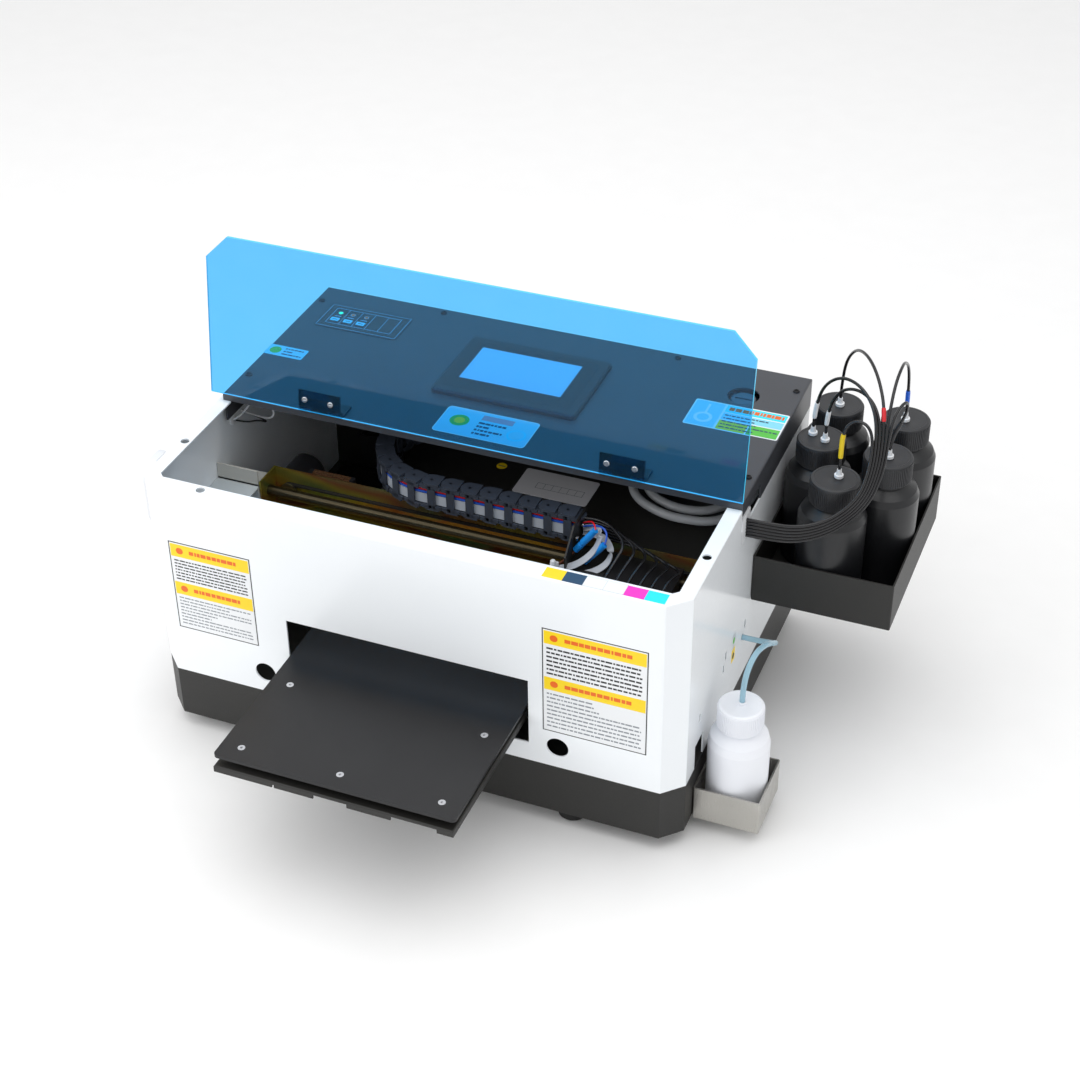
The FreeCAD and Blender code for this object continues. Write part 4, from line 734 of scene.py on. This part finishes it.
# %% Keypad film and display
FILM = lying(top_of("keypad_overlay"))
film = outline_marks(-222.5, 291.5, -139, 331.8, 0.5, "line_blue", 0)
film += outline_marks(-215.7, 298, -147, 327, 0.6, "line_blue", 0)
film += [(-215.7 + 13.74 * i, 298, -215.7 + 13.74 * i + 0.5, 327, 0, "line_blue", 0) for i in range(1, 5)]
for x, y, ink in ((-208.4, 318.6, "lamp_green"), (-195.4, 319, "orange"), (-181.2, 319, "orange")):
    film.append((x - 2.6, y - 2.6, x + 2.6, y + 2.6, 2.6, "line_blue", 0))
    film.append((x - 1.9, y - 1.9, x + 1.9, y + 1.9, 1.9, ink, 1))
    film.append((x - 3.4, y - 6.8, x + 3.4, y - 5.6, 0, "line_blue", 0))
prints("keypad_print", FILM, film)
for index in range(3):
    key = "keypad_key_%d" % (index + 1)
    low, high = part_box(key)
    middle_x = (low.x + high.x) / 2 / MM - ORIGIN.x / MM
    middle_y = (low.y + high.y) / 2 / MM - ORIGIN.y / MM
    legend = [(middle_x - 4.4, middle_y - 2.9, middle_x + 4.4, middle_y + 2.9, 1, "light_blue", 0),
              (middle_x - 2.6, middle_y - 0.5, middle_x + 2.6, middle_y + 0.5, 0, "navy", 1)]
    prints("key_legend_%d" % (index + 1), lying(high.z / MM), legend, body="key_%d" % (index + 1))
GLASS = lying(top_of("touch_screen"))
screen = [(-61, 227, 63, 308, 3, "film", 0), (-51, 243, 49, 300.5, 1, "line_blue", 1),
          (-50, 244, 48, 299.5, 0.6, "lit", 2)]
prints("display_picture", GLASS, screen)
print("keypad and display")

# %% Plates on the shelf and the right wall
SHELF = lying(197.4)
serial = [(18, 198, 90, 238, 2.5, "plate", 12)]
serial += outline_marks(36, 210, 82, 219, 0.5, "grey", 13)
serial += [(43.6 + 7.7 * i, 210, 44 + 7.7 * i, 219, 0, "grey", 13) for i in range(5)]
prints("shelf_plate", SHELF, serial)
prints("shelf_dot", SHELF, [(-11, 228, -1, 238, 4.9, "yellow", 1), (-9.5, 232.5, -2.5, 233.5, 0, "navy", 2)])
wall = [(139, 124, 149, 138, 1, "off_grey", 0), (141, 127, 147, 133, 2.9, "green", 1),
        (139, 107, 149, 121, 1, "yellow", 0), (141, 110, 147, 116, 2.9, "black", 1)]
prints("side_notice", SIDE, wall)
print("shelf and wall plates")

# %% [markdown]
# ## The drag chain
# The chain is a row of one nylon link. Geometry Nodes turn a path into a curve, divide it into as many points as
# there are links, and set a link on each point, turned along the path. The link has two side plates that overlap
# their neighbours like scales, and bars between them, with windows through which the cables show. In the real
# chain the straight run by the carriage gets shorter as the bend follows it, and the run on the shelf gets longer.
# Here the run by the carriage and the bend ride on one body, and the run on the shelf on none.


# %% One link
def block(bm, low, high, index=0):
    """A plain bar in a bmesh, from its low corner to its high one, in metres. `index` picks its finish."""
    corners = [bm.verts.new((x, y, z)) for z in (low[2], high[2]) for y in (low[1], high[1])
               for x in (low[0], high[0])]
    for ring in ((0, 2, 3, 1), (4, 5, 7, 6), (0, 1, 5, 4), (2, 6, 7, 3), (0, 4, 6, 2), (1, 3, 7, 5)):
        bm.faces.new([corners[i] for i in ring]).material_index = index


def slab_of(bm, outline, low, high):
    """An upright plate of any outline."""
    skin(bm, [[bm.verts.new((x, y, z)) for x, y in outline] for z in (low, high)])


def chain_link():
    """A link 28 mm high and 17 mm deep: its local X runs along the chain and its local Z up."""
    bm = bmesh.new()
    half, deep, round_at = 14.0, 8.5, 2.5
    nose = [(round_at + deep * math.cos(math.radians(a)), deep * math.sin(math.radians(a)))
            for a in range(-90, 91, 15)]
    tail = [(round_at + (deep - 1.2) * math.cos(math.radians(a)) - 10, (deep - 1.2) * math.sin(math.radians(a)))
            for a in range(90, 271, 22)]
    for sign in (1, -1):
        for outline, inner, outer in (([(-7, deep)] + [(-7, -deep)] + nose, half - 2.2, half),
                                      (tail + [(3, -deep + 1.2), (3, deep - 1.2)], half - 4.6, half - 2.4)):
            heights = sorted((sign * inner, sign * outer))
            slab_of(bm, [(x * MM, y * MM) for x, y in outline], heights[0] * MM, heights[1] * MM)
    for radius, low, high in ((3.4, half - 0.3, half - 0.02), (1.3, half - 0.1, half)):
        ring = [(round_at + radius * math.cos(a * math.tau / 14), radius * math.sin(a * math.tau / 14))
                for a in range(14)]
        slab_of(bm, [(x * MM, y * MM) for x, y in ring], low * MM, high * MM)
    for y0, y1 in ((-8.5, -7.0), (7.0, 8.5)):
        block(bm, (-3.8 * MM, y0 * MM, -12 * MM), (3.8 * MM, y1 * MM, 12 * MM))
        block(bm, (-9 * MM, y0 * MM, 8.5 * MM), (9 * MM, y1 * MM, 12 * MM))
        block(bm, (-9 * MM, y0 * MM, -12 * MM), (9 * MM, y1 * MM, -8.5 * MM))
    bmesh.ops.recalc_face_normals(bm, faces=bm.faces)
    mesh = bpy.data.meshes.new("chain_link")
    bm.to_mesh(mesh)
    bm.free()
    return bpy.data.objects.new("chain_link", mesh)


# %% Links along a path
def sockets_of(group, names):
    """Add the group's inputs by name and kind, with a geometry in and out."""
    group.interface.new_socket("Geometry", in_out="INPUT", socket_type="NodeSocketGeometry")
    for name, kind in names:
        group.interface.new_socket(name, in_out="INPUT", socket_type=kind)
    group.interface.new_socket("Geometry", in_out="OUTPUT", socket_type="NodeSocketGeometry")


def end_of(tree, start, placed):
    """Make the instances real, give them their finish and lead them out."""
    real = add(tree, "GeometryNodeRealizeInstances", {"Geometry": placed.outputs["Instances"]})
    done = add(tree, "GeometryNodeSetMaterial", {"Geometry": real.outputs["Geometry"],
                                                 "Material": start.outputs["Finish"]})
    add(tree, "NodeGroupOutput", {"Geometry": done.outputs["Geometry"]})
    return tree


def links_tree():
    """Instances of a link along a path, turned by its tangent."""
    tree = bpy.data.node_groups.new("links_along_a_path", "GeometryNodeTree")
    sockets_of(tree, (("Link", "NodeSocketObject"), ("Count", "NodeSocketInt"), ("Finish", "NodeSocketMaterial")))
    start = add(tree, "NodeGroupInput")
    curve = add(tree, "GeometryNodeMeshToCurve", {"Mesh": start.outputs["Geometry"]})
    spaced = add(tree, "GeometryNodeResampleCurve", {"Curve": curve.outputs["Curve"],
                                                     "Count": start.outputs["Count"]}, mode="COUNT")
    tangent = add(tree, "GeometryNodeInputTangent")
    turn = add(tree, "FunctionNodeAlignRotationToVector", {"Vector": tangent.outputs["Tangent"]}, axis="X",
               pivot_axis="Z")
    link = add(tree, "GeometryNodeObjectInfo", {"Object": start.outputs["Link"]})
    placed = add(tree, "GeometryNodeInstanceOnPoints", {"Points": spaced.outputs["Curve"],
                                                        "Instance": link.outputs["Geometry"],
                                                        "Rotation": turn.outputs["Rotation"]})
    return end_of(tree, start, placed)


def grow(name, base, tree, values):
    """Run a node tree on a base mesh and return the result as a plain mesh."""
    holder = bpy.data.objects.new(name + "_base", base)
    bpy.context.scene.collection.objects.link(holder)
    modifier = holder.modifiers.new("grow", "NODES")
    modifier.node_group = tree
    for item in tree.interface.items_tree:
        if item.in_out == "INPUT" and item.name in values:
            modifier[item.identifier] = values[item.name]
    holder.update_tag()
    graph = bpy.context.evaluated_depsgraph_get()
    mesh = bpy.data.meshes.new_from_object(holder.evaluated_get(graph), depsgraph=graph)
    mesh.name = name
    bpy.data.objects.remove(holder)
    return mesh


def path_mesh(name, points):
    """A line of edges through points given in millimetres."""
    mesh = bpy.data.meshes.new(name)
    mesh.from_pydata([at(*p) for p in points], [(i, i + 1) for i in range(len(points) - 1)], [])
    return mesh


CHAIN_Z, BEND_X, BEND_Y, BEND_R = 212.0, -46.0, 213.0, 62.0
CHAIN_FROM, CHAIN_TO = 104.0, 20.0
BEND_STEPS, RUN_STEPS = 44, 24                  # points along the bend's path and along a straight run of cable


def bend_points(radius, start, end):
    """Points of the chain's bend, from one angle to another, in degrees."""
    angles = [math.radians(start + (end - start) * i / BEND_STEPS) for i in range(BEND_STEPS + 1)]
    return [(BEND_X + radius * math.cos(a), BEND_Y + radius * math.sin(a), CHAIN_Z) for a in angles]


LINK_TREE, LINK = links_tree(), chain_link()
bpy.context.scene.collection.objects.link(LINK)
CHAIN_RUNS = {
    "chain_links_moving": ([(CHAIN_FROM - 10, 151, CHAIN_Z), (BEND_X + 9.2, 151, CHAIN_Z)], 8, "chain_moving_run"),
    "chain_links_bend": (bend_points(BEND_R, -98.2, -261.8), 11, "chain_bend"),
    "chain_links_fixed": ([(BEND_X + 9.2, 275, CHAIN_Z), (CHAIN_TO - 8, 275, CHAIN_Z)], 4, "chain_fixed_run"),
}
chain_parts = {}
for name, (points, count, node) in CHAIN_RUNS.items():
    mesh = grow(name, path_mesh(name + "_path", points), LINK_TREE,
                {"Link": LINK, "Count": count, "Finish": CHAIN_NYLON})
    mesh.materials.clear()
    made = piece(name, mesh, None if node == "chain_fixed_run" else "chain_loop", (CHAIN_NYLON,),
                 (node,))
    chain_parts[name] = made
    print(name, "links", count, "faces", len(mesh.polygons))
bpy.data.objects.remove(LINK)
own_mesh(chain_parts["chain_links_moving"])
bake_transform(chain_parts["chain_links_fixed"])


# %% Cables inside the chain
def ribbon(bm, path, normal_of, offset, thick, low, high, index):
    """A flat cable along a level path, upright between two heights."""
    rings = []
    for i, point in enumerate(path):
        nx, ny = normal_of(i)
        rings.append([bm.verts.new(at(point[0] + nx * o, point[1] + ny * o, point[2] + z))
                      for o, z in ((offset, low), (offset + thick, low), (offset + thick, high), (offset, high))])
    skin(bm, rings, index)


CABLES = ((-8.3, 1.5, 0), (2.2, 4.4, 1), (5.2, 8.0, 2))    # low, high and finish of each flat cable
CABLE_FINISHES = (finish("flat_cable_pvc", ("C3C8D0", "AFB5BE"), 0.4, grain=(0.3, 4, 0.3), height=0.03),
                  finish("blue_wire_pvc", ("2F63D6", "2857C6"), 0.35, grain=0.6),
                  finish("red_wire_pvc", ("E01822", "D0121C"), 0.35, grain=0.6))


def cable_piece(name, path, normal_of, body):
    """The flat cables of one stretch of the chain as one piece."""
    bm = bmesh.new()
    for low, high, index in CABLES:
        ribbon(bm, path, normal_of, 5.4, 0.6, low, high, index)
    return piece(name, mesh_of(bm, name), body, CABLE_FINISHES, smooth=False)


def run_points(start, end, y):
    """Points along a straight run of the chain."""
    return [(start + (end - start) * i / RUN_STEPS, y, CHAIN_Z) for i in range(RUN_STEPS + 1)]


moving_cables = cable_piece("chain_cables_moving", run_points(CHAIN_FROM, BEND_X, 151), lambda i: (0, -1),
                            "chain_loop")
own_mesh(moving_cables)
bend_path = bend_points(BEND_R, -90, -270)
cable_piece("chain_cables_bend", bend_path,
            lambda i: ((bend_path[i][0] - BEND_X) / BEND_R, (bend_path[i][1] - BEND_Y) / BEND_R), "chain_loop")
fixed_cables = cable_piece("chain_cables_fixed", run_points(BEND_X, CHAIN_TO, 275), lambda i: (0, 1), None)
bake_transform(fixed_cables)
print("chain cables", len(CABLES))

# %% [markdown]
# ## Knurled caps
# Screw caps have fine upright ribs for the fingers. The cap itself is a turned profile. Geometry Nodes put a rib
# on every point of a circle, and that ring and the cap on each bottle's axis.


# %% Caps with ribs
def turned(bm, profile, centre, steps=48):
    """A solid of revolution about an upright axis: the profile is radius and height, in millimetres."""
    rings = []
    for radius, height in profile:
        if radius == 0:
            rings.append([bm.verts.new(at(centre[0], centre[1], height))])
        else:
            rings.append([bm.verts.new(at(centre[0] + radius * math.cos(i * math.tau / steps),
                                          centre[1] + radius * math.sin(i * math.tau / steps), height))
                          for i in range(steps)])
    for a, b in zip(rings, rings[1:]):
        for i in range(steps):
            j = (i + 1) % steps
            corners = [a[i % len(a)], a[j % len(a)], b[j % len(b)], b[i % len(b)]]
            unique = [v for k, v in enumerate(corners) if v not in corners[:k]]
            bm.faces.new(unique)


def ribs_tree():
    """Ribs round a circle, and one such ring at every point of the base."""
    tree = bpy.data.node_groups.new("ribs_round_a_cap", "GeometryNodeTree")
    sockets_of(tree, (("Ribs", "NodeSocketInt"), ("Radius", "NodeSocketFloat"), ("Rib size", "NodeSocketVector"),
                      ("Finish", "NodeSocketMaterial")))
    start = add(tree, "NodeGroupInput")
    circle = add(tree, "GeometryNodeMeshCircle", {"Vertices": start.outputs["Ribs"],
                                                  "Radius": start.outputs["Radius"]})
    rib = add(tree, "GeometryNodeMeshCube", {"Size": start.outputs["Rib size"]})
    here = add(tree, "GeometryNodeInputPosition")
    turn = add(tree, "FunctionNodeAlignRotationToVector", {"Vector": here.outputs["Position"]}, axis="X",
               pivot_axis="Z")
    ring = add(tree, "GeometryNodeInstanceOnPoints", {"Points": circle.outputs["Mesh"],
                                                      "Instance": rib.outputs["Mesh"],
                                                      "Rotation": turn.outputs["Rotation"]})
    caps = add(tree, "GeometryNodeInstanceOnPoints", {"Points": start.outputs["Geometry"],
                                                      "Instance": ring.outputs["Instances"]})
    return end_of(tree, start, caps)


RIB_TREE = ribs_tree()


def ribbed_caps(name, centres, low, high, radius, count, material, node, lip):
    """Caps on several axes: a turned body a little thinner than the ribs reach."""
    bm = bmesh.new()
    core = radius - 0.7
    profile = [(core - 4, low + 0.4), (core - 0.4, low), (core, low + 0.6), (core, high - 2.2),
               (core - 0.5, high - 0.8), (core - 1.8, high - 0.1), (core - 2.6, high), (core - 3.4, high - lip),
               (2.6, high - lip), (2.2, high - lip - 0.2), (0, high - lip - 0.2)]
    for centre in centres:
        turned(bm, profile, centre)
    points = bpy.data.meshes.new(name + "_axes")
    points.from_pydata([at(x, y, (low + high) / 2 - 0.6) for x, y in centres], [], [])
    ribs = grow(name + "_ribs", points, RIB_TREE,
                {"Ribs": count, "Radius": (core - 0.1) * MM, "Rib size": (1.3 * MM, radius * 0.042 * MM,
                                                                        (high - low - 3.4) * MM), "Finish": material})
    bm.from_mesh(ribs)
    for face in bm.faces:
        face.material_index = 0
    return piece(name, mesh_of(bm, name), "cabinet", (material,), (node,))


BOTTLE_AXES = ((310.0, 222.5), (282.2, 280.0), (282.2, 341.0), (344.0, 273.5), (344.0, 337.5))
ink_lids = ribbed_caps("ink_caps_knurled", BOTTLE_AXES, 245.0, 267.0, 22.3, 72, CAP_BLACK,
                       "ink_caps", 0.5)
print("ink caps", len(ink_lids.data.polygons), "faces")
waste_lid = ribbed_caps("waste_cap_knurled", ((280.3, 69.0),), 104.0, 126.0, 20.5, 64, BOTTLE_WHITE,
                        "waste_cap", 0.4)
spout = bmesh.new()
turned(spout, [(0, 124), (4, 124), (4, 127), (3.6, 127.5), (0, 127.5)], (280.3, 71.0), 24)
piece("waste_cap_spout", mesh_of(spout, "waste_cap_spout"), "cabinet", (BOTTLE_WHITE,))
print("waste cap", len(waste_lid.data.polygons), "faces")

# %% [markdown]
# ## Wiring at the carriage
# A grey flat cable leaves the chain, loops beside the bracket and is held by a white tie. Two bright blue plugs
# hang from their wires. Short wires such as these are swept round tubes, made from a curve and turned to a mesh.


# %% Short wires and flat loops
def wire(name, points, radius, material, body):
    """A short fixed wire: a smooth spline with a round section, turned to a mesh."""
    mesh = plain_mesh(spline_line(name + "_line", points, 6, radius, 2))
    mesh.name = name
    mesh.materials.clear()
    return piece(name, mesh, body, (material,))


def rod_between(bm, start, end, radii, steps=18):
    """A stepped round body from one point to another: radii are (share of the way, radius)."""
    a, b = at(*start), at(*end)
    axis = (b - a).normalized()
    skin(bm, [ring_round(bm, a.lerp(b, share), axis, radius, steps) for share, radius in radii])


WIRE_BLUE = finish("blue_nylon_plug", ("1E96F0", "188CE6"), 0.34, grain=0.7, height=0.03)
plugs = bmesh.new()
for start, end in (((126, 128, 228), (108, 126, 203)), ((135, 126, 216), (117, 124, 194))):
    rod_between(plugs, start, end, [(0, 1.6), (0.01, 3.0), (0.3, 3.2), (0.62, 3.2), (0.63, 2.4), (0.7, 2.4),
                                    (0.71, 3.0), (0.98, 2.9), (1.0, 1.4)])
piece("cable_plugs", mesh_of(plugs, "cable_plugs"), "carriage", (WIRE_BLUE,))
wire("plug_wire_red", [(108, 146, 219), (116, 142, 226), (124, 131, 232), (126, 128, 228)], 0.8,
     CABLE_FINISHES[2], "carriage")
wire("plug_wire_blue", [(108, 145, 216), (124, 140, 226), (137, 132, 224), (135, 126, 216)], 0.9,
     CABLE_FINISHES[1], "carriage")
wire("plug_wire_brown", [(108, 126, 203), (104, 124, 197), (98, 116, 194), (96, 106, 196)], 0.8,
     finish("brown_wire_pvc", ("7A4636", "6C3C2E"), 0.4), "carriage")
wire("plug_wire_low", [(117, 124, 194), (110, 118, 190), (102, 112, 192), (96, 106, 195)], 0.8,
     CABLE_FINISHES[1], "carriage")


LOOP_WIDE, LOOP_THICK = 6, 0.9                  # the grey flat cable, mm
STANDING = Vector((0.25, -0.75, -0.6))          # the way its width leans


def flat_loop(name, points):
    """A flat cable standing on edge along a smooth line, riding on the carriage."""
    centres = [v.co.copy() for v in plain_mesh(spline_line(name + "_line", points, 8)).vertices]
    half_wide, half_thick = LOOP_WIDE / 2, LOOP_THICK / 2
    bm = bmesh.new()
    rings = []
    for i, centre in enumerate(centres):
        along = direction(centres, i)
        edge = STANDING.copy()
        edge = (edge - along * edge.dot(along)).normalized()
        flat = along.cross(edge)
        rings.append([bm.verts.new(centre + edge * e * MM + flat * f * MM)
                      for e, f in ((-half_wide, -half_thick), (half_wide, -half_thick), (half_wide, half_thick),
                                   (-half_wide, half_thick))])
    skin(bm, rings)
    return piece(name, mesh_of(bm, name), "carriage", (CABLE_FINISHES[0],))


flat_loop("flat_cable_inner", [(108, 147, 213), (122, 142, 222), (131, 130, 222), (125, 122, 205),
                               (108, 112, 193), (94, 106, 193)])
flat_loop("flat_cable_outer", [(108, 147, 209), (128, 142, 214), (141, 130, 208), (138, 122, 196),
                               (118, 112, 187), (92, 106, 188)])
tie = bmesh.new()
rod_between(tie, (97.5, 102, 184), (97.5, 108, 200), [(0, 2.2), (1, 2.2)], 8)
rod_between(tie, (96, 102, 199), (96, 104, 205), [(0, 2.6), (0.8, 2.6), (1, 1.4)], 8)
piece("cable_tie", mesh_of(tie, "cable_tie"), "carriage", (WHITE_PLASTIC,))
screws = bmesh.new()
for y, z in ((146, 216), (131, 212)):
    rod_between(screws, (107.2, y, z), (109.4, y, z), [(0, 2.6), (0.6, 2.6), (1, 1.6)], 14)
piece("bracket_screws", mesh_of(screws, "bracket_screws"), "carriage", (BRIGHT_SCREW,))
print("carriage wiring")

# %% [markdown]
# ## Parts in the left of the bay
# The left end of the guide carries small parts: a cream angle with a hole, a copper-coloured spring bar, black
# cable clips on the frame's lip, and a loop of white wire that comes through the left wall.

# %% Small parts by the guide
COPPER = finish("copper_plated_spring_bar", ("B98A68", "A87856"), 0.28, metallic=0.8, grain=(6, 0.5, 0.5))
CREAM = finish("cream_abs_angle", ("C9C8C2", "BEBDB6"), 0.45, grain=0.8)


def bar(bm, low, high, index=0):
    """A plain bar given by two corners in machine millimetres."""
    block(bm, at(*low), at(*high), index)


clips = bmesh.new()
LIP_Y, LEDGE_TOP, LIP_TOP, SKIN = 112.0, 161.7, 168.0, 0.12
for x in (-148.0, -88.0, -30.0, 30.0):
    bar(clips, (x - SKIN, LIP_Y - 2 - SKIN, LEDGE_TOP), (x + 14 + SKIN, LIP_Y - 0.1, LIP_TOP + SKIN))
    bar(clips, (x - SKIN, LIP_Y - 0.1, LIP_TOP - 1.4), (x + 14 + SKIN, LIP_Y + 3.6 + SKIN, LIP_TOP + SKIN))
    bar(clips, (x + 3, LIP_Y + 1.7, LEDGE_TOP), (x + 11, LIP_Y + 3.6 + SKIN, LIP_TOP - 1.4))
piece("lip_clips", mesh_of(clips, "lip_clips"), "cabinet", (BLACK_PLASTIC,), smooth=False)

spring = bmesh.new()
bar(spring, (-166, 160.1, 195.2), (-128, 166, 197.4), 0)
bar(spring, (-170, 158.7, 190), (-166, 166, 197.6), 1)
bar(spring, (-128, 160.1, 190), (-124, 166, 197.6), 1)
piece("guide_spring_bar", mesh_of(spring, "guide_spring_bar"), "cabinet", (COPPER, BLACK_PLASTIC),
      smooth=False)
wire("white_wire_loop", [(-248, 165, 234), (-240, 165, 238), (-228, 168, 256), (-216, 172, 260), (-208, 175, 246),
                         (-213, 178, 236), (-224, 180, 232), (-248, 182, 234)], 0.9,
     WHITE_PLASTIC, "cabinet")
wire("dark_wire", [(-248, 168, 232), (-238, 170, 230), (-226, 174, 233), (-218, 178, 230), (-230, 184, 229),
                   (-248, 186, 231)], 0.8,
     RUBBER, "cabinet")
angle = bmesh.new()
bar(angle, (-248, 129, 192), (-206, 130.6, 208))
bar(angle, (-248, 129, 192), (-206, 150, 193.4))
piece("bay_angle", mesh_of(angle, "bay_angle"), "cabinet", (CREAM,), smooth=False)
hole = bmesh.new()
rod_between(hole, (-248.4, 165, 234), (-246.6, 165, 234), [(0, 5.2), (0.8, 5.2), (1, 4.4)], 20)
piece("wall_grommet", mesh_of(hole, "wall_grommet"), "cabinet", (WHITE_PLASTIC,))
print("left bay parts")
